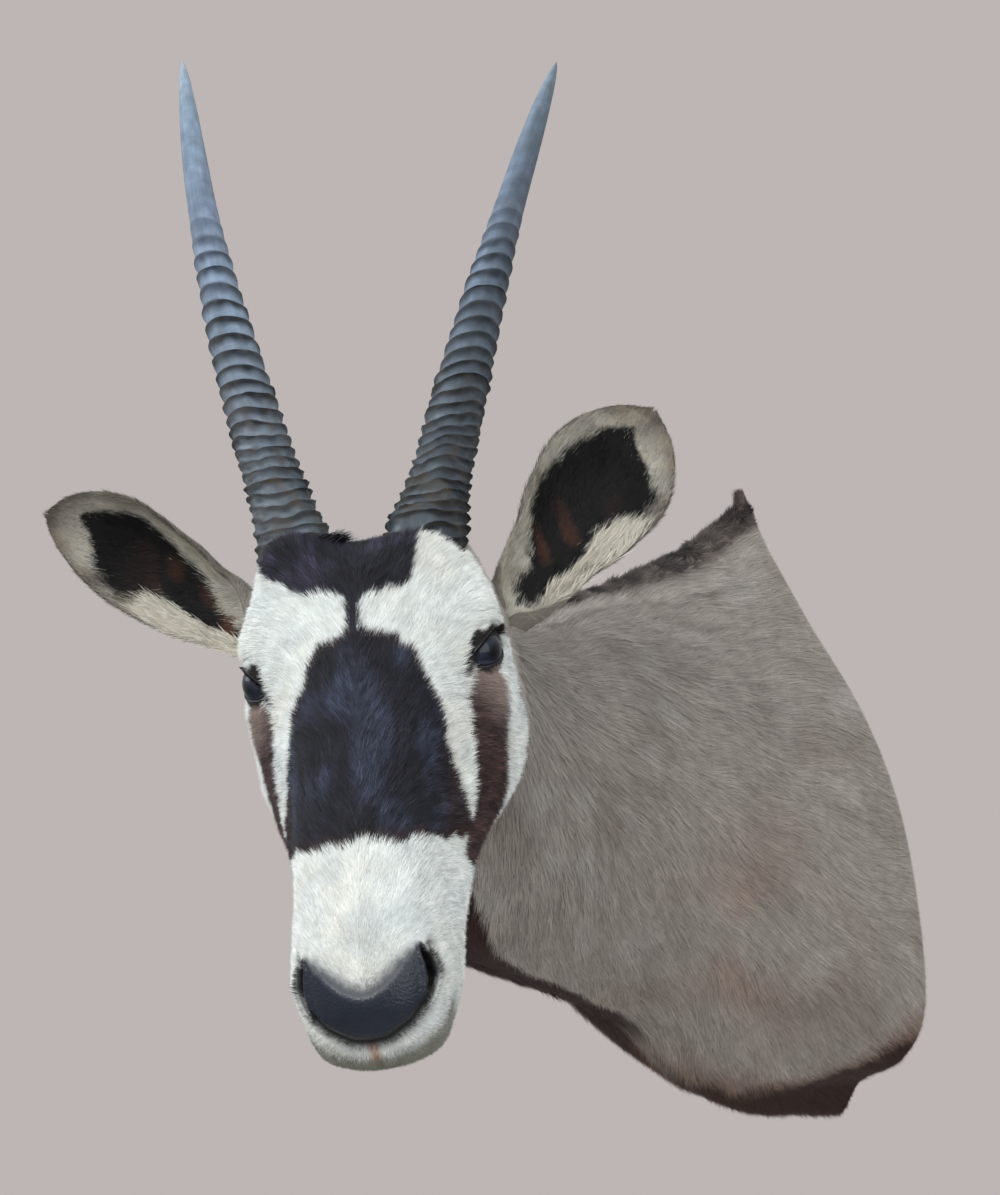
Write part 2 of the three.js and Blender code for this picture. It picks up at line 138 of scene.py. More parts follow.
def mirrored_loop(across, height, u):
    """A closed cubic loop through half a section and its mirror image, at shares u from 0 to 1."""
    x = np.concatenate([across, -across[:, -2:0:-1]], 1)
    y = np.concatenate([height, height[:, -2:0:-1]], 1)
    points = np.stack([x, y], -1)
    count = points.shape[1]
    i = np.floor(u * count).astype(int)
    t = (u * count - i)[None, :, None]
    a, b, c, d = (points[:, (i + o) % count] for o in (-1, 0, 1, 2))
    return 0.5 * (
        2 * b + (c - a) * t + (2 * a - 5 * b + 4 * c - d) * t**2 + (3 * b - a - 3 * c + d) * t**3
    )


def even(speed, count, ends=(0.0, 1.0)):
    """Places along a line where equal shares of the summed speed lie between neighbours."""
    at = np.linspace(*ends, len(speed))
    run = np.concatenate([[0], np.cumsum((speed[1:] + speed[:-1]) / 2)])
    return np.interp(np.linspace(0, run[-1], count), run, at)


def to_line(p, line):
    """Distance of each point from the nearest part of a line of straight stretches."""
    best = np.full(p.shape[:-1], 1e9)
    share = np.zeros(p.shape[:-1])
    line = np.asarray(line, float)
    for k, (a, b) in enumerate(zip(line[:-1], line[1:])):
        t = np.clip(((p - a) @ (b - a)) / ((b - a) @ (b - a)), 0, 1)
        away = np.linalg.norm(p - (a + t[..., None] * (b - a)), axis=-1)
        share = np.where(away < best, (k + t) / (len(line) - 1), share)
        best = np.minimum(best, away)
    return best, share


# ------------------------------------------------------------------ meshes


def grid_normals(p):
    """Outward normal at each grid point: the cross product of the row and column slopes."""
    return unit(np.cross(np.gradient(p, axis=0), np.roll(p, -1, 1) - np.roll(p, 1, 1)))


def grid_faces(rows, columns):
    """Quads between neighbouring rows of a grid numbered row by row, closed round each row."""
    i, j = np.meshgrid(np.arange(rows - 1), np.arange(columns), indexing="ij")
    k = (j + 1) % columns
    quads = [i * columns + j, (i + 1) * columns + j, (i + 1) * columns + k, i * columns + k]
    return np.stack(quads, -1).reshape(-1, 4)


def capped(p):
    """A closed grid's points and faces with a fan to a middle point over each end ring."""
    rows, columns = p.shape[:2]
    points = np.concatenate([p.reshape(-1, 3), p[:1].mean(1), p[-1:].mean(1)])
    j = np.arange(columns)
    k = (j + 1) % columns
    last = (rows - 1) * columns
    first_fan = np.stack([np.full(columns, rows * columns), j, k], -1)
    last_fan = np.stack([np.full(columns, rows * columns + 1), last + k, last + j], -1)
    return points, [grid_faces(rows, columns), first_fan, last_fan]


def with_ends(values):
    """A grid's values followed by the mean of its first and of its last ring."""
    flat = values.reshape(-1, *values.shape[2:])
    return np.concatenate([flat, values[:1].mean(1), values[-1:].mean(1)])


def facing(points, faces, away):
    """The faces, all turned round if the first list's normals mostly point against away."""
    a, b, c = (points[faces[0][:, n]] for n in (0, 1, 2))
    against = (np.cross(b - a, c - a) * away).sum() < 0
    return [f[:, ::-1] for f in faces] if against else faces


def girth_round(p):
    """How far along its closed ring each point lies from the ring's start, by the shorter
    way, and the ring's whole length."""
    step = np.linalg.norm(np.diff(np.concatenate([p, p[:, :1]], 1), axis=1), axis=-1)
    run = np.concatenate([np.zeros((len(p), 1)), np.cumsum(step, 1)], 1)
    total = run[:, -1:]
    return np.minimum(run[:, :-1], total - run[:, :-1]), total


def piece(name, points, faces, material, colours=None, values=None, smooth=True):
    """A mesh object at the origin, in metres, riding on the body, with its attributes."""
    faces = faces if isinstance(faces, list) else [faces]
    mesh = bpy.data.meshes.new(name)
    mesh.vertices.add(len(points))
    mesh.vertices.foreach_set("co", (np.asarray(points) * MM).astype(np.float32).ravel())
    corners = np.concatenate([f.ravel() for f in faces]).astype(np.int32)
    sizes = np.concatenate([np.full(len(f), f.shape[1]) for f in faces])
    starts = (np.cumsum(sizes) - sizes).astype(np.int32)
    mesh.loops.add(len(corners))
    mesh.loops.foreach_set("vertex_index", corners)
    mesh.polygons.add(len(starts))
    mesh.polygons.foreach_set("loop_start", starts)
    mesh.update(calc_edges=True)
    if colours is not None:
        layer = mesh.color_attributes.new("coat", "FLOAT_COLOR", "POINT")
        full = np.concatenate([colours, np.ones((len(colours), 1))], 1)
        layer.data.foreach_set("color", full.astype(np.float32).ravel())
    for key, value in (values or {}).items():
        layer = mesh.attributes.new(key, "FLOAT", "POINT")
        layer.data.foreach_set("value", np.asarray(value, np.float32).ravel())
    if smooth:
        mesh.shade_smooth()
    mesh.materials.append(material)
    made = bpy.data.objects.new(name, mesh)
    bpy.context.scene.collection.objects.link(made)
    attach(made, "root")
    return made


# ------------------------------------------------------------------ shader node groups
def links(tree):
    """Short ways to add a node and to join two sockets in one tree."""

    def node(kind, **settings):
        """A new node; a setting named in_X is the value of its input X."""
        made = tree.nodes.new(kind)
        for key, value in settings.items():
            if key.startswith("in_"):
                made.inputs[key[3:].replace("_", " ")].default_value = value
            else:
                setattr(made, key, value)
        return made

    def join(a, b):
        """Output a drives input b."""
        tree.links.new(a, b)

    return node, join


def new_group(name, takes, gives):
    """A shader node group with the named float and colour sockets."""
    tree = bpy.data.node_groups.new(name, "ShaderNodeTree")
    kinds = {"f": "NodeSocketFloat", "c": "NodeSocketColor"}
    for key, kind, default in takes:
        socket = tree.interface.new_socket(key, in_out="INPUT", socket_type=kinds[kind])
        socket.default_value = default
    for key, kind in gives:
        tree.interface.new_socket(key, in_out="OUTPUT", socket_type=kinds[kind])
    node, join = links(tree)
    return tree, node, join, node("NodeGroupInput"), node("NodeGroupOutput")


def make_mottle():
    """Colour made lighter and darker by a noise on Object coordinates."""
    tree, node, join, source, sink = new_group(
        "mottle",
        [("Colour", "c", (0.5, 0.5, 0.5, 1)), ("Scale", "f", 40.0), ("Strength", "f", 0.2)],
        [("Colour", "c"), ("Mask", "f")],
    )
    place = node("ShaderNodeTexCoord")
    broad = node("ShaderNodeTexNoise", in_Detail=4.0)
    join(place.outputs["Object"], broad.inputs["Vector"])
    join(source.outputs["Scale"], broad.inputs["Scale"])
    spread = node("ShaderNodeMapRange", in_From_Min=0.25, in_From_Max=0.75, in_To_Min=-1.0)
    join(broad.outputs["Fac"], spread.inputs["Value"])
    amount = node("ShaderNodeMath", operation="MULTIPLY")
    join(spread.outputs["Result"], amount.inputs[0])
    join(source.outputs["Strength"], amount.inputs[1])
    gain = node("ShaderNodeMath", operation="ADD")
    gain.inputs[1].default_value = 1.0
    join(amount.outputs[0], gain.inputs[0])
    scaled = node("ShaderNodeVectorMath", operation="SCALE")
    join(source.outputs["Colour"], scaled.inputs[0])
    join(gain.outputs[0], scaled.inputs["Scale"])
    join(scaled.outputs[0], sink.inputs["Colour"])
    join(broad.outputs["Fac"], sink.inputs["Mask"])
    return tree


MOTTLE = make_mottle()


def new_material(name, roughness=0.6, **sockets):
    """A material with one Principled shader and ways to add nodes to its tree."""
    made = bpy.data.materials.new(name)
    made.use_nodes = True
    tree = made.node_tree
    tree.nodes.clear()
    node, join = links(tree)
    out = node("ShaderNodeOutputMaterial")
    shader = node("ShaderNodeBsdfPrincipled")
    shader.inputs["Roughness"].default_value = roughness
    for key, value in sockets.items():
        shader.inputs[key.replace("_", " ")].default_value = value
    join(shader.outputs[0], out.inputs[0])
    return made, node, join, shader


def mottled(node, join, shader, colour, scale, strength):
    """Base colour from a colour socket or a plain colour, through the mottle group."""
    group = node("ShaderNodeGroup")
    group.node_tree = MOTTLE
    group.inputs["Scale"].default_value = scale
    group.inputs["Strength"].default_value = strength
    if isinstance(colour, np.ndarray):
        group.inputs["Colour"].default_value = (*colour, 1)
    else:
        join(colour, group.inputs["Colour"])
    join(group.outputs["Colour"], shader.inputs["Base Color"])
    return group


def coated(name, roughness, gloss, scale, strength):
    """A material whose base colour is the mesh's own coat colour, mottled."""
    made, node, join, shader = new_material(name, roughness, Specular_IOR_Level=gloss)
    coat = node("ShaderNodeAttribute", attribute_name="coat")
    mottled(node, join, shader, coat.outputs["Color"], scale, strength)
    return made, node, join, shader


def bumped(node, join, shader, height, strength, distance):
    """The shader's normal raised by a height socket."""
    bump = node("ShaderNodeBump", in_Strength=strength, in_Distance=distance)
    join(height, bump.inputs["Height"])
    join(bump.outputs[0], shader.inputs["Normal"])


def roughened(node, join, shader, value, low, high):
    """Roughness running from low to high as a value runs from 0 to 1."""
    rough = node("ShaderNodeMapRange", in_To_Min=low, in_To_Max=high)
    join(value, rough.inputs["Value"])
    join(rough.outputs[0], shader.inputs["Roughness"])


def grained(node, join, scale, **settings):
    """Noise on Object coordinates multiplied by a scale for each axis."""
    place = node("ShaderNodeTexCoord")
    stretch = node("ShaderNodeMapping", in_Scale=scale)
    join(place.outputs["Object"], stretch.inputs["Vector"])
    grain = node("ShaderNodeTexNoise", in_Scale=1.0, **settings)
    join(stretch.outputs[0], grain.inputs["Vector"])
    return grain


def shaded(node, join, value, stops):
    """The colour at a value, by two or more stops of position and colour."""
    shades = node("ShaderNodeValToRGB")
    ready = shades.color_ramp.elements
    for k, (position, colour) in enumerate(stops):
        stop = ready[k] if k < 2 else ready.new(position)
        stop.position = position
        stop.color = (*colour, 1)
    join(value, shades.inputs["Fac"])
    return shades.outputs["Color"]


def hair_material():
    """Hair: the strand's own colour, in which some light and shade is painted, mottled a little, with a
    soft gloss.
    """
    made, *_ = coated("hair", 0.6, 0.25, 90.0, 0.12)
    return made


def skin_material():
    """Hide under the hair, and bare leather where the mask is 1: glossier and pebbled."""
    made, node, join, shader = coated("hide_skin", 0.8, 0.3, 60.0, 0.15)
    bare = node("ShaderNodeAttribute", attribute_name="bare")
    roughened(node, join, shader, bare.outputs["Fac"], 0.85, 0.3)
    place = node("ShaderNodeTexCoord")
    pebbles = node("ShaderNodeTexVoronoi", in_Scale=620.0)
    join(place.outputs["Object"], pebbles.inputs["Vector"])
    height = node("ShaderNodeMath", operation="MULTIPLY")
    join(pebbles.outputs["Distance"], height.inputs[0])
    join(bare.outputs["Fac"], height.inputs[1])
    bumped(node, join, shader, height.outputs[0], 0.35, 0.0006)
    return made


def horn_material():
    """Keratin: the painted ring colours, mottled, with fine lengthwise scratches."""
    made, node, join, shader = coated("horn_keratin", 0.5, 0.2, 55.0, 0.2)
    scratches = grained(node, join, (900, 900, 60), in_Detail=3.0)
    bumped(node, join, shader, scratches.outputs["Fac"], 0.5, 0.0006)
    return made


def eye_material():
    """Painted glass: a black pupil bar, a dark blue-grey iris and a clear coat over them."""
    made, node, join, shader = new_material(
        "eye_glass", 0.3, Specular_IOR_Level=0.1, Coat_Weight=0.5, Coat_Roughness=0.03,
        Coat_IOR=1.45,
    )
    iris = node("ShaderNodeAttribute", attribute_name="iris")
    stops = [(0.30, tint(4, 4, 7)), (0.62, tint(36, 42, 54)), (0.9, tint(14, 12, 14))]
    mottled(node, join, shader, shaded(node, join, iris.outputs["Fac"], stops), 500.0, 0.3)
    return made


def plywood_material():
    """Birch plywood: pale wood with long grain."""
    made, node, join, shader = new_material("plywood", 0.65)
    grain = grained(node, join, (60, 900, 6), in_Detail=6.0, in_Distortion=0.6)
    stops = [(0.3, tint(150, 112, 72)), (0.7, tint(205, 170, 122))]
    mottled(node, join, shader, shaded(node, join, grain.outputs["Fac"], stops), 18.0, 0.15)
    bumped(node, join, shader, grain.outputs["Fac"], 0.25, 0.0004)
    return made


def steel_material():
    """Zinc-plated steel, dulled in patches."""
    made, node, join, shader = new_material("steel", 0.4, Metallic=1.0)
    group = mottled(node, join, shader, tint(176, 178, 182), 220.0, 0.18)
    roughened(node, join, shader, group.outputs["Mask"], 0.28, 0.55)
    return made


HAIR = hair_material()
SKIN = skin_material()
HORN = horn_material()
GLASS = eye_material()
PLYWOOD = plywood_material()
STEEL = steel_material()

# ------------------------------------------------------------------ head frame and tables
BROW = np.array([213.0, -602.0, 291.0])
NOSE_TURN, NOSE_DROP = math.radians(45), math.radians(45)
UP = np.array([0.0, 0.0, 1.0])
AHEAD = np.array([math.sin(NOSE_TURN), -math.cos(NOSE_TURN), 0.0])
LEFT = np.array([math.cos(NOSE_TURN), math.sin(NOSE_TURN), 0.0])
ALONG = math.cos(NOSE_DROP) * AHEAD - math.sin(NOSE_DROP) * UP
OUT = math.sin(NOSE_DROP) * AHEAD + math.cos(NOSE_DROP) * UP
HEAD_AXES = np.array([ALONG, LEFT, OUT])


def from_head(h):
    """Points given as (s along the face, x to its left, z out of the brow)."""
    return BROW + np.asarray(h, float) @ HEAD_AXES


def to_head(p):
    """The head's (s, x, z) of points."""
    return (np.asarray(p, float) - BROW) @ HEAD_AXES.T


HEAD_SECTIONS = np.array(
    [
        [-76, -92, 8, -92, 14, -95, 14, -100, 8, -106, -108],
        [-70, -80, 22, -81, 36, -88, 38, -102, 26, -118, -122],
        [-54, -62, 36, -58, 54, -70, 58, -102, 38, -134, -142],
        [-34, -43, 44, -36, 61, -57, 66, -103, 46, -148, -158],
        [-14, -24, 48, -14, 68, -43, 70, -105, 48, -154, -164],
        [10, 0, 48, 5, 75, -35, 74, -108, 50, -158, -168],
        [36, 9, 46, 6, 80, -31, 79, -114, 52, -159, -170],
        [72, 7, 43, 1, 83, -34, 84, -118, 52, -159, -168],
        [110, 5, 39, -3, 72, -46, 82, -118, 49, -151, -158],
        [150, 4, 35, -5, 61, -47, 73, -108, 42, -138, -144],
        [190, 4, 33, -5, 51, -42, 62, -90, 36, -121, -129],
        [230, 5, 32, -4, 46, -38, 54, -77, 34, -106, -114],
        [272, 5, 32, -3, 44, -36, 50, -68, 33, -94, -101],
        [312, 2, 32, -7, 46, -37, 49, -63, 34, -88, -94],
        [338, -6, 28, -15, 41, -40, 43, -62, 32, -83, -88],
        [356, -18, 22, -26, 34, -45, 36, -61, 26, -76, -80],
        [366, -31, 13, -36, 21, -48, 23, -58, 15, -67, -70],
        [371, -43, 6, -45, 10, -51, 10, -56, 7, -60, -61],
    ],
    float,
)
NECK_PLAN = np.array([[0, 0], [0, -310], [175, -560]], float)
NECK_END = 1.05  # last share of the neck's plan curve, inside the head
NECK_SECTIONS = np.array(
    [
        [0, 287, -285, 133, 0],
        [0.16, 250, -256, 129, 0.25],
        [0.25, 240, -232, 125, 0.42],
        [0.34, 231, -200, 119, 0.6],
        [0.42, 226, -156, 113, 0.73],
        [0.5, 221, -116, 106, 0.85],
        [0.66, 212, -70, 94, 1],
        [0.8, 222, -38, 84, 1],
        [0.92, 248, -4, 74, 1],
        [1, 260, 40, 60, 1],
        [NECK_END, 244, 90, 40, 1],
    ],
    float,
)
SHOULDER_OUTLINE = np.array(
    [
        [0, 0], [0.09, 0.19], [0.21, 0.45], [0.35, 0.78], [0.5, 0.97],
        [0.67, 1.0], [0.82, 0.92], [0.9, 0.66], [0.94, 0.27], [1, 0],
    ]
)
ROUND_OUTLINE = np.array(
    [
        [0, 0], [0.03, 0.4], [0.12, 0.7], [0.27, 0.91], [0.46, 1.0],
        [0.64, 0.94], [0.8, 0.77], [0.91, 0.54], [0.98, 0.28], [1, 0],
    ]
)


def head_rings(q, u):
    """Head surface in (s, x, z): the section table at row q, its mirrored loop at share u."""
    r = rows_at(np.arange(len(HEAD_SECTIONS), dtype=float), HEAD_SECTIONS, q)
    zero = np.zeros(len(q))
    across = np.stack([zero, r[:, 2], r[:, 4], r[:, 6], r[:, 8], zero], 1)
    height = np.stack([r[:, 1], r[:, 3], r[:, 5], r[:, 7], r[:, 9], r[:, 10]], 1)
    loop = mirrored_loop(across, height, u)
    s = np.repeat(r[:, :1], len(u), 1)
    return np.stack([s, loop[..., 0], loop[..., 1]], -1)


def plan_at(t):
    """The neck's plan curve, a quadratic through three points, its slope and its bend."""
    a, b, c = NECK_PLAN
    t = np.asarray(t, float)[..., None]
    at = (1 - t) ** 2 * a + 2 * t * (1 - t) * b + t**2 * c
    return at, 2 * ((1 - t) * (b - a) + t * (c - b)), 2 * (a - 2 * b + c)


def neck_loops(t, u):
    """Neck sections as (across, height): the shoulder and round outlines mixed, at share u."""
    _, crest, throat, wide, roundness = rows_at(NECK_SECTIONS[:, 0], NECK_SECTIONS, t).T[..., None]
    q = mix(SHOULDER_OUTLINE[:, 0], ROUND_OUTLINE[:, 0], roundness)
    w = mix(SHOULDER_OUTLINE[:, 1], ROUND_OUTLINE[:, 1], roundness)
    return mirrored_loop(w * wide, crest + (throat - crest) * q, u)


def neck_rings(t, u):
    """Neck surface: each section stands upright across the plan curve at share t."""
    loop = neck_loops(t, u)
    at, slope, _ = plan_at(t)
    ahead = unit(slope)
    left = np.stack([-ahead[:, 1], ahead[:, 0]], -1)
    p = np.empty((*loop.shape[:2], 3))
    p[..., :2] = at[:, None] + left[:, None] * loop[..., :1]
    p[..., 2] = loop[..., 1]
    return p


# ------------------------------------------------------------------ how far a point is outside
ANGLE_STEPS = 360
ANGLES = np.linspace(-math.pi, math.pi, ANGLE_STEPS + 1)


def polar_table(loops):
    """For each closed section, its middle height and its radius at every listed angle."""
    middle = (loops[..., 1].max(1) + loops[..., 1].min(1)) / 2
    angle = np.arctan2(loops[..., 0], loops[..., 1] - middle[:, None])
    radius = np.hypot(loops[..., 0], loops[..., 1] - middle[:, None])
    rows = []
    for a, r in zip(angle, radius):
        order = np.argsort(a)
        rows.append(np.interp(ANGLES, a[order], r[order], period=2 * math.pi))
    return middle, np.array(rows)


def polar_gap(row, across, height, middle, table):
    """Radius of a point about its section's middle, less the section's radius that way."""
    row = np.clip(row, 0, len(middle) - 1.001)
    i = row.astype(int)
    f = row - i
    centre = mix(middle[i], middle[i + 1], f)
    angle = np.arctan2(across, height - centre)
    column = np.clip((angle + math.pi) / (2 * math.pi) * ANGLE_STEPS, 0, ANGLE_STEPS - 0.001)
    j = column.astype(int)
    g = column - j
    wall = mix(
        mix(table[i, j], table[i, j + 1], g), mix(table[i + 1, j], table[i + 1, j + 1], g), f
    )
    return np.hypot(across, height - centre) - wall


LOOP_SHARES = np.arange(240) / 240
HEAD_LOOPS = head_rings(np.linspace(0, len(HEAD_SECTIONS) - 1, 240), LOOP_SHARES)
HEAD_POLAR = polar_table(HEAD_LOOPS[..., 1:])
HEAD_STATIONS = HEAD_LOOPS[:, 0, 0]
NECK_STATIONS = np.linspace(0, NECK_END, 200)
NECK_POLAR = polar_table(neck_loops(NECK_STATIONS, LOOP_SHARES))


def outside_head(p):
    """About how far a point lies outside the head's surface, negative inside."""
    s, x, z = np.moveaxis(to_head(p), -1, 0)
    row = np.interp(s, HEAD_STATIONS, np.arange(len(HEAD_STATIONS)))
    gap = polar_gap(row, x, z, *HEAD_POLAR)
    past = np.maximum(HEAD_STATIONS[0] - s, s - HEAD_STATIONS[-1])
    return np.where(past > 0, np.hypot(np.maximum(gap, 0), past), gap)


def neck_share(p):
    """Share t of the plan curve nearest a point, by Newton's steps on the distance."""
    xy = np.asarray(p)[..., :2]
    t = np.clip(-xy[..., 1] / 560, 0, 1)
    for _ in range(8):
        at, slope, bend = plan_at(t)
        off = xy - at
        t = t + (off * slope).sum(-1) / np.maximum((slope**2).sum(-1) - off @ bend, 1e4)
        t = np.clip(t, -0.1, 1.1)
    return t


NECK_LONG = 500  # about the length of the plan curve


def outside_neck(p):
    """About how far a point lies outside the neck's surface, negative inside."""
    t = neck_share(p)
    at, slope, _ = plan_at(t)
    ahead = unit(slope)
    off = np.asarray(p)[..., :2] - at
    across = -off[..., 0] * ahead[..., 1] + off[..., 1] * ahead[..., 0]
    row = t / NECK_END * (len(NECK_STATIONS) - 1)
    gap = polar_gap(row, across, p[..., 2], *NECK_POLAR)
    return np.maximum(gap, np.maximum((t - NECK_END) * NECK_LONG, -t * NECK_LONG))


def joined(gap, reach):
    """How far a surface swells where another one meets it, so that the two run together."""
    h = np.clip(reach - np.abs(gap), 0, None) / reach
    return h * h * reach / 4


# ------------------------------------------------------------------ horn lines
HORN_TAPER = np.array(
    [
        [0, 26], [0.035, 23], [0.08, 20.6], [0.16, 19.6], [0.24, 18.8], [0.32, 17.7],
        [0.42, 16], [0.5, 14.5], [0.62, 12.5], [0.75, 10.9], [0.86, 8.4], [0.94, 5.4],
        [0.98, 2.8], [1, 0.7],
    ],
    float,
)
HORN_ROOT = 0.046  # share of the length by which a horn's root runs into the head
# tone darkens each whole horn, the left one more as painted shade; the last value darkens a horn's outer
# side as painted shade
HORNS = {
    "left": dict(base=[-12, 46, -15], tip=[-121, -35, 736], bow=-7, seed=71, tone=0.80,
                 painted_side_shade=0.45),
    "right": dict(base=[-12, -46, -15], tip=[-370, -293, 798], bow=13, seed=81, tone=0.94,
                  painted_side_shade=0.0),
}


def horn_line(horn):
    """The horn's axis, its sideways bow, and the two directions across it."""
    start = from_head(horn["base"])
    axis = np.array(horn["tip"], float) - start
    side = unit(LEFT - axis * (LEFT @ axis) / (axis @ axis)) * np.sign(horn["base"][1])
    return start, axis, side, np.cross(unit(axis), side)


def horn_at(horn, h):
    """Places on the horn's bowed middle line at shares h of its length."""
    start, axis, side, _ = horn_line(horn)
    bow = horn["bow"] * np.sin(math.pi * np.clip(h, 0, 1))
    return start + h[..., None] * axis + bow[..., None] * side


def outside_horns(p):
    """Distance outside the nearer horn, by its straight axis; before its base it ends flat."""
    best = np.full(p.shape[:-1], 1e9)
    for horn in HORNS.values():
        start, axis, _, _ = horn_line(horn)
        t = ((p - start) @ axis) / (axis @ axis)
        away = np.linalg.norm(p - (start + t[..., None] * axis), axis=-1)
        gap = away - np.interp(t, HORN_TAPER[:, 0], HORN_TAPER[:, 1])
        best = np.minimum(best, np.maximum(gap, -(t + HORN_ROOT) * np.linalg.norm(axis)))
    return best


# ------------------------------------------------------------------ face landmarks, in (s, x, z)
EYE_R = 17.5
EYE_AT = np.array([80.0, 68.0, -43.0])
EYE_OUT = unit([0.30, 0.90, 0.26])
EYE_LONG = unit(np.cross([-0.37, -0.1, 0.9], EYE_OUT))
EYE_LONG = EYE_LONG * np.sign(EYE_LONG[0])
EYE_HIGH = np.cross(EYE_LONG, EYE_OUT)
CORNEA_RISE = 1.1
# half axes of the lids' almond on the eyeball, as shares of its radius
LID_LONG, LID_HIGH, LID_LOW = 0.97, 0.58, 0.46
LID_R, LASH_R = 19.4, 19.5
NOSTRIL = [[327, 32.5, -13], [333, 35.8, -21], [339, 36.5, -27.5], [346, 34.5, -31], [353, 31, -34]]
PAD = [[329, 33, -14], [337, 31, -19], [346, 25, -22], [354.5, 16, -25], [360, 6, -26.5],
       [360.5, 0, -26.5]]
PAD_HALF = [4.0, 9.6, 11.0, 12.0, 12.6, 12.6]
MOUTH = [[286, 50, -86], [318, 47, -80], [340, 42, -75], [355, 31, -72], [363, 15, -70],
         [367, 0, -69]]
TEAR_LINE = [[84, 73, -26], [95, 68.5, -26], [110, 63.5, -29], [121, 60.2, -29.6]]
SIDES = {"left": 1, "right": -1}


def on_left(h):
    """Each (s, x, z), or its mirror image if it lies on the head's right."""
    return np.stack([h[..., 0], np.abs(h[..., 1]), h[..., 2]], -1)


def mirrored(h, line):
    """Distance to a line given for the left side, taking the nearer of it and its mirror."""
    return to_line(on_left(h), line)


def near(h, spot, radius):
    """A round hill about a spot given for the left side, and about its mirror image."""
    return bell(np.linalg.norm(on_left(h) - np.array(spot, float), axis=-1), radius)


def eye_metric(h):
    """0 at the middle of the eye opening, 1 on the lid's edge; and the radius from the eye."""
    left = on_left(h) - EYE_AT
    r = np.linalg.norm(left, axis=-1)
    e = left / np.maximum(r, 1e-6)[..., None]
    a, b, c = e @ EYE_LONG, e @ EYE_HIGH, e @ EYE_OUT
    tall = np.where(b > 0, LID_HIGH, LID_LOW)
    ring = np.sqrt((a / LID_LONG) ** 2 + (b / tall) ** 2) + 4 * ramp(22, 36, r)
    return np.where(c > 0, ring, 9.0), r, b


# ------------------------------------------------------------------ coat colours
WHITE = tint(228, 231, 227)
CREAM = tint(224, 218, 202)
BLACK = tint(27, 26, 35)
BLACK_BROWN = tint(50, 32, 29)
STRIPE = tint(62, 45, 43)
STRIPE_TOP = tint(146, 128, 121)
TAUPE = tint(170, 161, 153)
TAUPE_DARK = tint(132, 119, 110)
TAUPE_PALE = tint(196, 190, 184)
BRISKET = tint(52, 31, 24)
THROAT = tint(58, 37, 33)
PAD_SLATE = tint(38, 42, 52)
LIP = tint(120, 100, 78)
RIM_BLACK = tint(12, 12, 14)
THIN_HAIR_AT = np.array([115.0, -200, -60])  # middle of the patch of thin pinkish hair
BELOW_EAR = np.array([18.0, -10, -52])  # from the left ear's root to the pale hair below it


def blend_in(colour, other, share):
    """A colour, or one for each point, moved towards another by each point's own share."""
    return colour + (np.asarray(other) - colour) * np.asarray(share)[..., None]


def marked(colour, h, line, shade, share, radius):
    """The colour with a soft line or spot of a shade on it, on both sides of the head."""
    return blend_in(colour, shade, share * bell(mirrored(h, line)[0], radius))


def pad_metric(h):
    """Distance from the nose pad's middle line as a share of its half width there."""
    away, share = mirrored(h, PAD)
    half = np.interp(share, np.linspace(0, 1, len(PAD_HALF)), PAD_HALF)
    return away / half, away - half


def nostril_metric(h):
    """Distance from the nostril's middle line as a share of its half width there."""
    away, share = mirrored(h, NOSTRIL)
    half = 3.3 * np.sqrt(np.clip(1 - (2 * share - 1) ** 2, 0.04, 1))
    return away / half


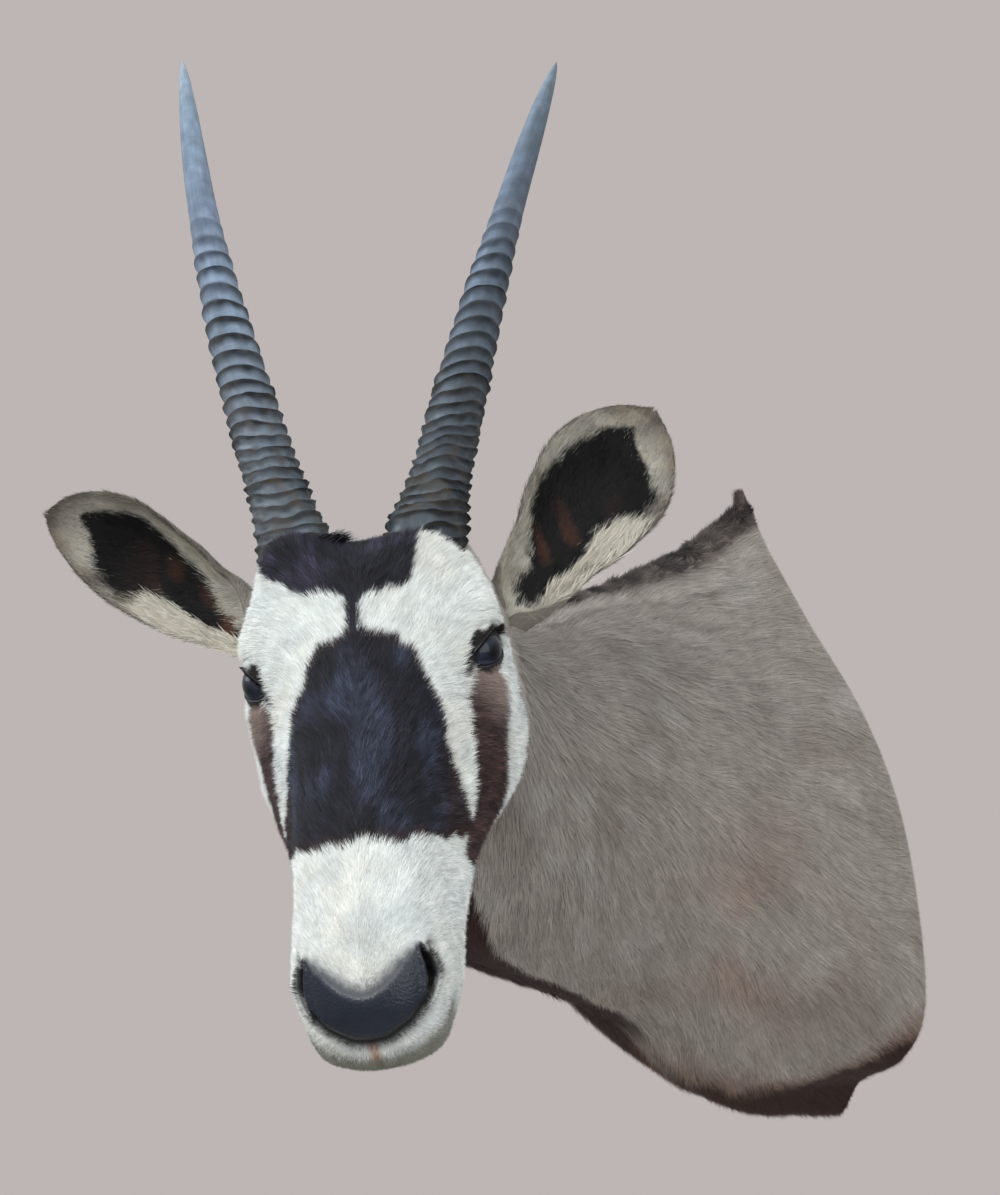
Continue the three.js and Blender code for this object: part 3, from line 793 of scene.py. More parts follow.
def head_coat(h, girth):
    """Colour and bareness of the head at (s, x, z), girth being millimetres round from the
    middle of the face. Every marking is a band between two curves of s or of girth, its edge
    moved by noise."""
    jitter = 2.6 * noise(h, 8.0, 1) + 1.6 * noise(h, 3.2, 2)
    s = h[..., 0] + jitter + 2.0 * noise(h, 17.0, 5)
    a = girth + 2.2 * noise(h, 7.0, 3) + 1.4 * noise(h, 3.0, 4)
    left = h[..., 1] > 0
    soft = 1.2
    colour = blend_in(WHITE, CREAM, 0.35 * ramp(-0.2, 0.8, noise(h, 26.0, 6)))
    colour = blend_in(colour, tint(196, 202, 206), 0.35 * ramp(0.0, 0.8, noise(h, 15.0, 7)))
    # taupe behind the brow, round the ear and under the jaw
    edge = np.interp(a, [50, 82, 95, 117, 126, 134, 150, 168, 176, 200],
                     [-30, 8, 20, 26, 40, 62, 82, 92, 118, 175])
    behind = before(edge, s, soft)
    jaw = np.interp(h[..., 0], [80, 102, 120, 135, 157, 182, 209, 239],
                    [168, 170, 168, 164, 156, 144, 133, 128])
    under = past(jaw, a, soft) * ramp(262, 236, s)
    colour = blend_in(colour, TAUPE, np.maximum(behind, under))
    line = np.maximum(bell(s - edge - 1, 2.2) * ramp(70, 84, a),
                      bell(a - jaw, 2.2) * ramp(240, 224, s))
    colour = blend_in(colour, tint(92, 82, 78), 0.75 * line * ramp(176, 168, a * (s < 80)))
    # bridge patch, its top edge reached at another girth on each side
    reached = [0, 10, 17, 25, 30, 36, 44, 50, 58, 73]
    wide = np.where(left, np.interp(a, [0, 13, 23, 35, 42, 48, 55, 60, 65, 73], reached),
                    np.interp(a, [0, 11, 19, 28, 34, 40, 47, 52, 59, 73], reached))
    wide = np.where(a > 73, a, wide)
    top = np.interp(wide, [0, 10, 17, 25, 30, 36, 44, 50, 58, 73, 78, 87, 95],
                    [92, 101, 104, 113, 126, 137, 146, 164, 172, 181, 187, 197, 209])
    bottom = np.interp(a, [0, 28, 32, 51, 80, 94, 99], [266, 266, 262, 249, 228, 214, 209])
    patch = past(top, s, soft) * before(bottom, s, soft) * ramp(100, 97, a)
    # the blue-grey noise on the black is a painted sheen
    tone = blend_in(BLACK, tint(58, 64, 82),
                    0.6 * ramp(0.0, 0.7, noise(h * [0.5, 1.4, 1.4], 17.0, 8)))
    rim = np.minimum(np.minimum(s - top, bottom - s), 98 - a)
    tone = blend_in(tone, BLACK_BROWN, 0.8 * ramp(9, 0, rim) + 0.6 * ramp(50, 80, a))
    colour = blend_in(colour, tone, patch)
    # forehead patch round the horn roots, and the thin line down the middle
    low = np.where(left, np.interp(a, [0, 6, 12, 23, 36, 57], [71, 68, 67, 66, 58, 34]),
                   np.interp(a, [0, 6, 11, 20, 23, 36, 57, 66, 74, 84],
                             [71, 66, 64, 62, 63, 57, 34, 13, -7, -20]))
    side = np.where(left, np.interp(h[..., 0], [-60, -40, -14, 0, 15, 28, 48],
                                    [20, 34, 40, 39, 40, 41, 36]), 82)
    brow = before(low, s, soft) * before(side, a, soft) * ramp(-72, -60, s)
    thin = ramp(3.6, 2.2, np.abs(girth * np.where(left, 1, -1) + 1.4 + 0.8 * noise(h, 6.0, 9)))
    brow = np.maximum(brow, thin * ramp(60, 62, h[..., 0]) * ramp(98, 96, h[..., 0]))
    dark = blend_in(BLACK, tint(62, 58, 76), 0.6 * ramp(-0.1, 0.7, noise(h, 14.0, 10)))
    colour = blend_in(colour, dark, brow)
    # cheek stripe from the eye to the corner of the bridge patch
    inner = np.interp(s, [84, 96, 114, 139, 163, 185, 198, 212], [88, 84, 81, 84, 91, 101, 100, 92])
    outer = np.interp(s, [84, 96, 115, 135, 158, 176, 200, 222, 232],
                      [108, 113, 123, 134, 143, 143, 131, 119, 112])
    stripe = past(inner, a, soft) * before(outer, a, soft) * ramp(84, 88, s) * ramp(233, 229, s)
    brown = blend_in(STRIPE, STRIPE_TOP, ramp(135, 95, s))
    colour = blend_in(colour, brown, stripe)
    # eyelids and the line from the eye's front corner
    ring, _, high = eye_metric(h)
    lid = ramp(1.22, 1.10, ring + 0.08 * noise(h, 5.0, 11))
    lid = np.maximum(lid, np.where((high > 0) & left, ramp(1.36, 1.22, ring), 0))
    tear, along = mirrored(h, TEAR_LINE)
    half = np.interp(along, [0, 0.35, 0.7, 1], [4.6, 4.4, 2.4, 0.6])
    temple = [[4, 73, -36], [24, 80, -44], [43, 84.3, -52.5]]
    colour = marked(colour, h, temple, tint(104, 96, 88), 0.75, 1.6)
    rear_corner = [[64, 84, -42], [54, 87, -56]]
    colour = marked(colour, h, rear_corner, tint(72, 44, 42), 0.9, 3.2)
    lid = np.maximum(lid, ramp(half + 1.2, half - 1.0, tear))
    colour = blend_in(colour, tint(24, 20, 21), lid)
    # painted shade: a grey-green spot darkening the hair behind and above the eye
    shade_spot_above_lid = [[52, 83, -33], [57, 84, -37]]
    colour = marked(colour, h, shade_spot_above_lid, tint(76, 90, 88), 0.75, 3.6)
    # lips, mouth line and the mark under the middle of the pad
    mouth, _ = mirrored(h, MOUTH)
    colour = blend_in(colour, LIP, 0.55 * bell(mouth, 7) * ramp(285, 320, h[..., 0]))
    colour = blend_in(colour, tint(70, 56, 48), bell(mouth, 1.5))
    mark, _ = to_line(h, [[368, 0, -38], [372, 0, -50], [372, 1, -62]])
    colour = blend_in(colour, tint(168, 122, 84), 0.75 * bell(mark, 3.4))
    # nose pad and nostrils, with a dark rim below them
    ring_pad, gap = pad_metric(h)
    slot = nostril_metric(h)
    lower = np.interp(h[..., 0], [325, 340, 362], [-16, -22, -27])
    below = ramp(lower + 1.5, lower - 1.5, h[..., 2])
    soft_grey = bell(np.maximum(gap, 0), 5.5) * (1 - below) * ramp(326, 334, h[..., 0])
    colour = blend_in(colour, tint(84, 86, 94), 0.85 * soft_grey)
    # the chin and lower lip darkened to grey-tan: partly their own tan, mostly painted shade of the
    # downward-facing underside
    chin_tan_and_shade = ramp(-44, -56, h[..., 2]) * ramp(322, 346, h[..., 0])
    colour = blend_in(colour, tint(122, 121, 108), 0.9 * chin_tan_and_shade * ramp(2, 7, gap))
    rim = bell(np.maximum(gap - 2.0, 0), 4.2) * below
    colour = blend_in(colour, RIM_BLACK, 0.97 * rim)
    fade = mix(ramp(1.5, 0.7, ring_pad), ramp(1.06, 0.94, ring_pad), below)
    colour = blend_in(colour, PAD_SLATE, fade)
    colour = blend_in(colour, RIM_BLACK, 0.9 * bell(ring_pad - 1.04, 0.13) * below)
    colour = blend_in(colour, RIM_BLACK, bell(np.maximum(slot - 1, 0), 0.45))
    bare = np.maximum(ramp(1.1, 0.95, ring_pad), ramp(1.5, 1.15, slot))
    bare = np.maximum(bare, ramp(1.12, 1.06, ring))
    return colour, bare


def neck_coat(p, t, share, left):
    """Colour of the neck and shoulder: share runs from 0 at the crest to 1 at the throat."""
    run = np.stack(
        [p[..., 0], p[..., 1] * 0.6 + p[..., 2] * 0.5, p[..., 2] * 0.5 - p[..., 1] * 0.3], -1)
    colour = blend_in(TAUPE, TAUPE_DARK, 0.45 * ramp(0.0, 0.9, noise(run, 34.0, 21)))
    colour = blend_in(colour, TAUPE_PALE, 0.40 * ramp(0.1, 0.9, noise(run, 22.0, 22)))
    thin = bell(np.linalg.norm(p - THIN_HAIR_AT, axis=-1), 90) * ramp(-0.4, 0.6, noise(run, 30.0, 23))
    colour = blend_in(colour, tint(158, 128, 112), 0.5 * thin)
    e = share + 0.006 * noise(p, 9.0, 24)
    # painted shade: the neck darkened where it meets the jaw, as a contact shadow
    jaw_contact_shade = bell(outside_head(p) - 1, 3.5) * ramp(215, 180, p[..., 2])
    colour = colour * (1 - 0.5 * jaw_contact_shade)[..., None]
    # pale hair round the ears' roots
    for root in EAR_ROOTS:
        round_root = bell(np.linalg.norm(p - root, axis=-1), 54)
        colour = blend_in(colour, tint(196, 188, 176), 0.8 * round_root)
    below_ear = bell(np.linalg.norm(p - EAR_ROOTS[0] - BELOW_EAR, axis=-1), 34)
    colour = blend_in(colour, tint(206, 200, 190), 0.6 * below_ear)
    # dark mane along the crest, a pale ruffle beside it, and below that a wavy fold that is only
    # painted: a dark line of painted shade with a pale band of painted light above it
    wide = np.interp(t, [0, 0.05, 0.5, 0.75, 0.95], [0.034, 0.036, 0.040, 0.032, 0.0])
    colour = blend_in(colour, tint(62, 52, 49), 0.9 * before(wide, e, 0.008))
    ruffle = bell(e - wide - 0.03, 0.018) * ramp(0.0, 0.6, noise(p, 13.0, 25))
    colour = blend_in(colour, tint(206, 196, 186), 0.5 * ruffle * ramp(0.7, 0.6, t))
    # painted fold: painted shade in its crease, painted light on its upper side
    fold = e - 0.088 - 0.016 * noise(run, 26.0, 27)
    broken = np.clip(0.6 + 0.6 * noise(p, 20.0, 28), 0, 1)
    shown = ramp(0.66, 0.6, t) * ramp(0.08, 0.16, t) * broken
    colour = blend_in(colour, tint(92, 80, 74), 0.8 * bell(fold, 0.006) * shown)
    colour = blend_in(colour, tint(204, 196, 188), 0.55 * bell(fold + 0.020, 0.012) * shown)
    # throat stripe
    edge = np.interp(t, [0.3, 0.42, 0.5, 0.6, 0.75, 0.84, 0.9, 1.0],
                     [1.01, 0.985, 0.98, 0.978, 0.972, 0.955, 0.93, 0.88])
    edge = np.where(left, edge, edge - 0.12)
    colour = blend_in(colour, THROAT, past(edge, e, 0.008))
    # brisket, brown towards the lower rear edge
    low = np.interp(t, [0, 0.04, 0.08, 0.13, 0.2, 0.32, 0.42],
                    [0.80, 0.79, 0.83, 0.86, 0.93, 0.975, 1.0])
    low = low + 0.012 * noise(p, 16.0, 26)
    rear_part = ramp(0.46, 0.38, t)
    fringe = ramp(low - 0.085, low + 0.02, e) * rear_part
    colour = blend_in(colour, tint(118, 78, 58), 0.8 * fringe)
    colour = blend_in(colour, BRISKET, 0.95 * ramp(low - 0.025, low + 0.012, e) * rear_part)
    pale = bell(t - 0.42, 0.05) * ramp(0.965, 0.985, e)
    return blend_in(colour, tint(170, 160, 152), 0.6 * pale)


# ------------------------------------------------------------------ ears, in millimetres
EAR_OPEN = np.array(
    [
        [0, 17, 176], [0.06, 19, 168], [0.12, 22, 145], [0.28, 27, 105], [0.45, 33, 84],
        [0.62, 43.5, 70], [0.78, 48.5, 60], [0.88, 43.5, 52], [0.94, 33, 45], [0.98, 20, 38],
        [1, 4, 30],
    ],
    float,
)
EARS = {
    "left": dict(size=1.0, base=[2, 84, -97], bend=[29, 23, 40], tip=[251, -347, 354],
                 face=[0.77, -0.6, 0.1]),
    "right": dict(size=0.91, base=[-7, -81, -82], bend=[-33, -13, -7], tip=[-29, -697, 346],
                  face=[0.5, -0.75, -0.4]),
}
EAR_ROOTS = [from_head(ear["base"]) for ear in EARS.values()]
EAR_THICK = 2.6
EAR_EDGE_SEED = 91


def ear_line(ear, u):
    """The ear's middle line, a quadratic curve from its root to its tip, and its direction."""
    a = from_head(ear["base"])
    b = a + np.array(ear["bend"], float)
    c = np.array(ear["tip"], float)
    u = u[:, None]
    at = (1 - u) ** 2 * a + 2 * u * (1 - u) * b + u**2 * c
    return at, unit((1 - u) * (b - a) + u * (c - b))


def ear_surface(ear, u, angle_share, radius_less):
    """A cupped leaf: at share u an arc of half angle wrap, drawn at its radius less a
    thickness, the arc's ends nearly meeting at the root and lying open at the tip."""
    at, ahead = ear_line(ear, u)
    face = np.array(ear["face"])
    open_ = unit(face - (ahead @ face)[:, None] * ahead)
    across = np.cross(ahead, open_)
    wide, wrap = rows_at(EAR_OPEN[:, 0], EAR_OPEN, np.clip(u, 0, 1)).T[1:]
    wide = np.maximum(wide, 1.0) * ear["size"] * (1 + 0.02 * noise(at, 14.0, EAR_EDGE_SEED))
    wrap = np.radians(wrap)
    radius = wide / np.sin(np.minimum(wrap, math.pi / 2))
    lift = -0.35 * wide + radius * np.cos(np.minimum(wrap, math.pi / 2))
    centre = at + open_ * lift[:, None]
    a = angle_share * wrap[:, None]
    r = radius[:, None] - radius_less
    return (
        centre[:, None] + across[:, None] * (r * np.sin(a))[..., None]
        - open_[:, None] * (r * np.cos(a))[..., None]
    )


# dark middle of each ear's inside: [u, lower edge, upper edge] as shares of the half angle
EAR_DARK = {
    "left": np.array([
        [0, 0, 0], [0.1, 0, 0.02], [0.15, -0.12, 0.25], [0.2, -0.24, 0.3], [0.29, -0.25, 0.31],
        [0.34, -0.18, 0.42], [0.42, -0.4, 0.53], [0.5, -0.61, 0.52], [0.6, -0.82, 0.35],
        [0.66, -0.84, 0.38], [0.72, -0.78, 0.44], [0.76, -0.75, 0.84], [0.83, -0.69, 0.84],
        [0.89, -0.67, 0.64], [0.93, -0.58, 0.25], [0.955, -0.42, -0.05], [0.97, -0.2, -0.2],
        [1, 0, 0],
    ]),
    "right": np.array([
        [0, -0.95, 0.95], [0.2, -0.9, 0.2], [0.34, -0.79, -0.45], [0.45, -0.79, -0.26],
        [0.52, -0.72, -0.05], [0.58, -0.66, 0.13], [0.66, -0.6, 0.21], [0.7, -0.62, 0.36],
        [0.76, -0.84, 0.5], [0.82, -0.86, 0.56], [0.87, -0.79, 0.5], [0.9, -0.5, 0.42],
        [0.94, -0.12, 0.3], [0.955, 0.1, 0.1], [1, 0, 0],
    ]),
}


def ear_dark(name, u, v, p):
    """1 in the dark middle of the ear's inside and 0 round it, its edge broken up."""
    table = EAR_DARK[name]
    low = np.interp(u, table[:, 0], table[:, 1])
    high = np.interp(u, table[:, 0], table[:, 2])
    shift = 0.07 * noise(p, 8.0, 31) + 0.05 * noise(p, 3.5, 32)
    return past(low, v + shift, 0.09) * before(high, v + shift, 0.09) * (high > low + 0.02)


def ear_coat(name, u, v, inside, p):
    """Colour of an ear at share u of its length and v of its half angle: dark in the middle
    of the inside, pale round it, taupe at the tip, a thin dark rim, grey-brown outside."""
    dark = ear_dark(name, u, v, p) * inside
    near_rim = ramp(0.62, 0.92, np.abs(v)) * ramp(0.4, 0.6, u) + ramp(0.9, 0.98, u)
    near_rim = near_rim * (0.85 + 0.4 * noise(p, 12.0, 35))
    if name == "left":
        near_rim = near_rim * (1 - 0.75 * ramp(-0.3, -0.6, v) * ramp(0.9, 0.8, u))
    colour = blend_in(tint(206, 200, 188), tint(138, 130, 120), np.clip(0.9 * near_rim, 0, 1))
    colour = blend_in(colour, tint(176, 160, 136), 0.35 * ramp(0.0, 0.8, noise(p, 10.0, 33)))
    colour = blend_in(colour, tint(146, 138, 128), (1 - inside) * 0.85)
    rust = ramp(0.0, 0.6, noise(p * [1, 1, 0.45], 13.0, 34)) * ramp(0.86, 0.5, u)
    rust = rust * ramp(0.75, 0.25, np.abs(v - (0.1 if name == "left" else -0.35)))
    deep = blend_in(tint(12, 10, 10), tint(88, 53, 40), (0.9 if name == "right" else 0.55) * rust)
    colour = blend_in(colour, deep, dark)
    rim = ramp(0.95, 0.99, np.abs(v)) * ramp(0.3, 0.45, u) + 0.6 * ramp(0.985, 0.995, u)
    return blend_in(colour, tint(58, 48, 42), np.clip(0.85 * rim, 0, 0.85)), dark


# ------------------------------------------------------------------ skins
# the skin between the hairs is darker than the hairs' own colour by these factors
SKIN_SHADE, EAR_SKIN_SHADE = 0.8, 0.75

def head_grid():
    """The head's grid, finer at the nose and the eyes, as (s, x, z) with girth."""
    rows, columns = detail((300, 270))
    q = np.linspace(0, len(HEAD_SECTIONS) - 1, 3000)
    r = rows_at(np.arange(len(HEAD_SECTIONS), dtype=float), HEAD_SECTIONS, q)
    speed = np.hypot(np.gradient(r[:, 0]), 0.6 * np.gradient(r[:, 1])) + 1e-4
    speed *= 1 + 0.5 * bell(r[:, 0] - 84, 30) + 0.9 * ramp(310, 325, r[:, 0])
    q = even(speed, rows, (0, len(HEAD_SECTIONS) - 1))
    half = np.linspace(0, 1, columns // 2 + 1)
    half = np.interp(half, [0, 0.19, 0.46, 0.74, 0.87, 1], np.arange(6) / 10)
    u = np.concatenate([half, 1 - half[-2:0:-1]])
    h = head_rings(q, u)
    # rings drawing in to close the front of the muzzle, bulging a little forwards
    k = np.array([0.2, 0.4, 0.6, 0.8, 0.95])[:, None, None]
    closing = mix(h[-1], h[-1].mean(0), k)
    closing[..., 0] += 1.6 * np.sqrt(1 - (1 - k[..., 0]) ** 2)
    h = np.concatenate([h, closing])
    return h, girth_round(h)[0]


# hills on both sides of the head: [height, spot, radius]; brow, cheek, tear pit, jaw, muzzle
HEAD_HILLS = [
    [3.0, [58, 78, -22], 16], [2.4, [92, 80, -62], 15], [-2.6, [122, 62, -34], 16],
    [4.0, [112, 84, -112], 34], [4.0, [74, 86, -112], 24], [2.6, [332, 43, -34], 13],
    [-1.4, [310, 44, -20], 13], [0.6, [345, 30, -62], 15], [-1.2, [335, 44, -62], 20],
]
# ridges on both sides: [height, line, radius]; cheek bone, hollow before it, upper lip's cleft
HEAD_RIDGES = [
    [2.2, [[104, 80, -72], [150, 68, -62], [205, 54, -54]], 11],
    [-1.6, [[180, 60, -76], [250, 50, -60], [300, 48, -52]], 13],
    [-1.4, [[368, 0, -40], [372, 0, -52], [371, 0, -64]], 1.8],
]


def shape_head(h):
    """Raises and sinks the head's surface along its normal by a sum of round hills and
    ridges, then wraps the lids round the eyeballs and sinks the nostrils and the mouth."""
    n = grid_normals(h)
    s, x, _ = np.moveaxis(h, -1, 0)
    out = np.zeros(s.shape)
    # the collar of skin in front of each horn, and the skin kept down inside the horn
    inside = ramp(3, -5, outside_horns(from_head(h)))
    for half, spot, high in ((1, 23.0, 3.0), (-1, 15.0, 9.5)):
        collar = high * near(h, [spot, 45, 6], 23) * ramp(spot - 13, spot - 4, s)
        out += np.where(x * half > 0, collar - 7.0 * inside * ramp(spot - 6, spot - 14, s), 0)
    for high, spot, radius in HEAD_HILLS:
        out += high * near(h, spot, radius)
    for high, line, radius in HEAD_RIDGES:
        out += high * bell(mirrored(h, line)[0], radius)
    mouth, _ = mirrored(h, MOUTH)
    out -= 3.2 * bell(mouth, 2.0) - 0.9 * bell(mouth - 5, 3.5)
    ring_pad, _ = pad_metric(h)
    out += 1.3 * ramp(1.15, 0.8, ring_pad)
    slot = nostril_metric(h)
    out -= 9.0 * ramp(1.25, 0.35, slot) - 1.6 * bell(slot - 1.9, 0.6)
    out += 0.5 * noise(h, 30.0, 41) + 0.25 * noise(h, 12.0, 42)
    h = h + n * out[..., None]
    # lids: the radius from the eye's middle goes from inside the glass to just outside it
    ring, r, high = eye_metric(h)
    lid = LID_R + np.where(high > 0, 1.6, 0.6) * bell(ring - 1.25, 0.2)
    wanted = np.where(ring < 1.0, mix(EYE_R - 3.5, LID_R, ramp(0.86, 1.0, ring)), lid)
    keep = ramp(1.15, 2.0, ring)
    radius = mix(wanted, np.maximum(r, lid * (1 - keep) + r * keep), keep)
    eye = np.where((x > 0)[..., None], EYE_AT, EYE_AT * [1, -1, 1])
    near_eye = (ring < 2.0) & (r < 42)
    return np.where(near_eye[..., None], eye + unit(h - eye) * radius[..., None], h)


def ear_swell(p):
    """The hide rising as a low cone about each ear's root."""
    return sum(9.0 * bell(np.linalg.norm(p - root, axis=-1), 24) for root in EAR_ROOTS)


base_head, head_girth = head_grid()
head_h = shape_head(base_head)
head_p = from_head(head_h)
poll = ramp(90, 20, head_h[..., 0]) * ramp(-150, -60, head_h[..., 2])
reach = 12 + 34 * poll
swell = joined(outside_neck(head_p), reach) * ramp(80, 60, head_h[..., 0] * poll)
head_n = grid_normals(head_p)
head_p = head_p + head_n * (swell + ear_swell(head_p))[..., None]
head_n = grid_normals(head_p)
head_colour, head_bare = head_coat(head_h, head_girth)
head_points, head_faces = capped(head_p)
head_skin = piece(
    "head_skin", head_points, head_faces, SKIN,
    with_ends(head_colour) * SKIN_SHADE, {"bare": with_ends(head_bare)},
)


def neck_grid():
    """The neck's grid with its share of the plan curve and of the way round."""
    rows, columns = detail((230, 300))
    t = np.linspace(0, NECK_END, rows)
    p = neck_rings(t, np.arange(columns) / columns)
    girth, total = girth_round(p)
    return p, np.repeat(t[:, None], columns, 1), girth / (total / 2)


def shape_neck(p, t, share):
    """Swells the neck where the head meets it and lays shallow folds and muscle over it."""
    n = grid_normals(p)
    upper = ramp(40, 200, p[..., 2])
    out = joined(outside_head(p), 12 + 34 * upper)
    inner = ramp(0.02, 0.12, t)
    out += (1.8 * noise(p, 70.0, 51) + 0.8 * noise(p, 28.0, 52)) * inner
    out += ear_swell(p)
    throat_folds = bell(share - 0.9, 0.1) * bell(t - 0.6, 0.15)
    out += 1.2 * np.sin(share * 60 + 4 * noise(p, 60.0, 53)) * throat_folds
    return p + n * out[..., None]


WALL_GAP, HAIR_WALL_GAP = 0.4, 0.2  # how far the skin and the hairs stay off the wall
neck_base, neck_t, neck_share_round = neck_grid()
neck_p = shape_neck(neck_base, neck_t, neck_share_round)
neck_p[..., 1] = np.minimum(neck_p[..., 1], -WALL_GAP)
neck_n = grid_normals(neck_p)

# the rear edge: the hide turns over the form and runs in to the back board
BOARD_WIDE, BOARD_TALL, BOARD_THICK = 190.0, 350.0, 18.0
BOARD_NARROWING = 0.22  # how much narrower the egg outline is towards its top
# [share of the way across, y] of the rings over the folded hide, and over the bare form
FOLD_STEPS = [(0.0, -WALL_GAP), (0.08, -0.2), (0.5, -0.5), (1.0, -0.5), (1.04, -2.0)]
FORM_STEPS = [(0.3, -2.2), (0.65, -2.0), (1.0, -2.0)]


def board_outline(angle, grow):
    """The board's egg outline at an angle from the top, let out by grow."""
    w, h = BOARD_WIDE / 2 + grow, BOARD_TALL / 2 + grow
    narrow = 1 - BOARD_NARROWING * np.maximum(0, np.cos(angle)) ** 2
    x = w * narrow * np.sign(np.sin(angle)) * np.abs(np.sin(angle)) ** 0.8
    z = h * np.sign(np.cos(angle)) * np.abs(np.cos(angle)) ** 0.9
    return np.stack([x, z], -1)


def rear_rings(edge):
    """Rings from the cape's rear edge to the board's pocket: a rounded turn, a flat band of
    folded hide, the bare form, and the pocket's wall down to just in front of the board."""
    angle = np.linspace(0, 2 * math.pi, 721)
    outline = board_outline(angle, 1.2)
    heading = np.arctan2(outline[:, 0], outline[:, 1])
    order = np.argsort(heading)
    mine = np.arctan2(edge[:, 0], edge[:, 2])
    inner = np.stack(
        [np.interp(mine, heading[order], outline[order, k], period=2 * math.pi) for k in (0, 1)], -1)
    flat = edge[:, [0, 2]]
    width = np.linalg.norm(flat - inner, axis=-1)
    inward = unit(inner - flat)
    turn = 24 + 5 * noise(edge, 26.0, 61) + 2 * noise(edge, 8.0, 62)
    turn = np.minimum(turn, width * 0.6)
    band = [(flat + inward * (turn * share)[:, None], y) for share, y in FOLD_STEPS]
    form = [(mix(band[-1][0], inner, share), y) for share, y in FORM_STEPS]
    pocket = [(inner, -BOARD_THICK - 1.5)]
    return np.array([np.stack([q[:, 0], np.full(len(q), y), q[:, 1]], -1)
                     for q, y in band + form + pocket])


rear = rear_rings(neck_p[0])
neck_all = np.concatenate([rear[::-1], neck_p])
neck_colour = neck_coat(neck_p, neck_t, neck_share_round, neck_base[..., 0] > 0)
LEATHER, FOAM = tint(186, 164, 134), tint(206, 192, 148)
rear_tint = [FOAM] * 5 + [LEATHER] * 4
rear_colour = np.array([np.broadcast_to(c, neck_p[0].shape) for c in rear_tint])
neck_points, neck_faces = capped(neck_all)
all_colour = np.concatenate([rear_colour, neck_colour * SKIN_SHADE])
neck_skin = piece(
    "neck_skin", neck_points, neck_faces, SKIN,
    with_ends(all_colour), {"bare": np.zeros(len(neck_points))},
)
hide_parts("hide_on_form")
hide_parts("hide_on_form")

# ------------------------------------------------------------------ horns
# colour between the rings and on their dark edges, by share of the horn's length; the blue-grey towards
# the tip is a painted sky reflection on the dark horn
HORN_PALE = [
    (0.0, tint(97, 105, 112)), (0.2, tint(104, 114, 125)), (0.42, tint(120, 135, 154)),
    (0.6, tint(128, 142, 162)), (0.85, tint(124, 142, 162)), (1.0, tint(152, 170, 184)),
]
HORN_DEEP = [
    (0.0, tint(15, 16, 17)), (0.2, tint(10, 13, 16)), (0.4, tint(14, 21, 30)),
    (0.55, tint(52, 66, 84)), (0.66, tint(98, 116, 138)), (1.0, tint(152, 170, 184)),
]


def shade_at(table, h):
    """The colour of a table of (share, colour) at shares h."""
    knots, shades = np.array([k for k, _ in table]), np.array([c for _, c in table])
    return np.stack([np.interp(h, knots, shades[:, k]) for k in range(3)], -1)


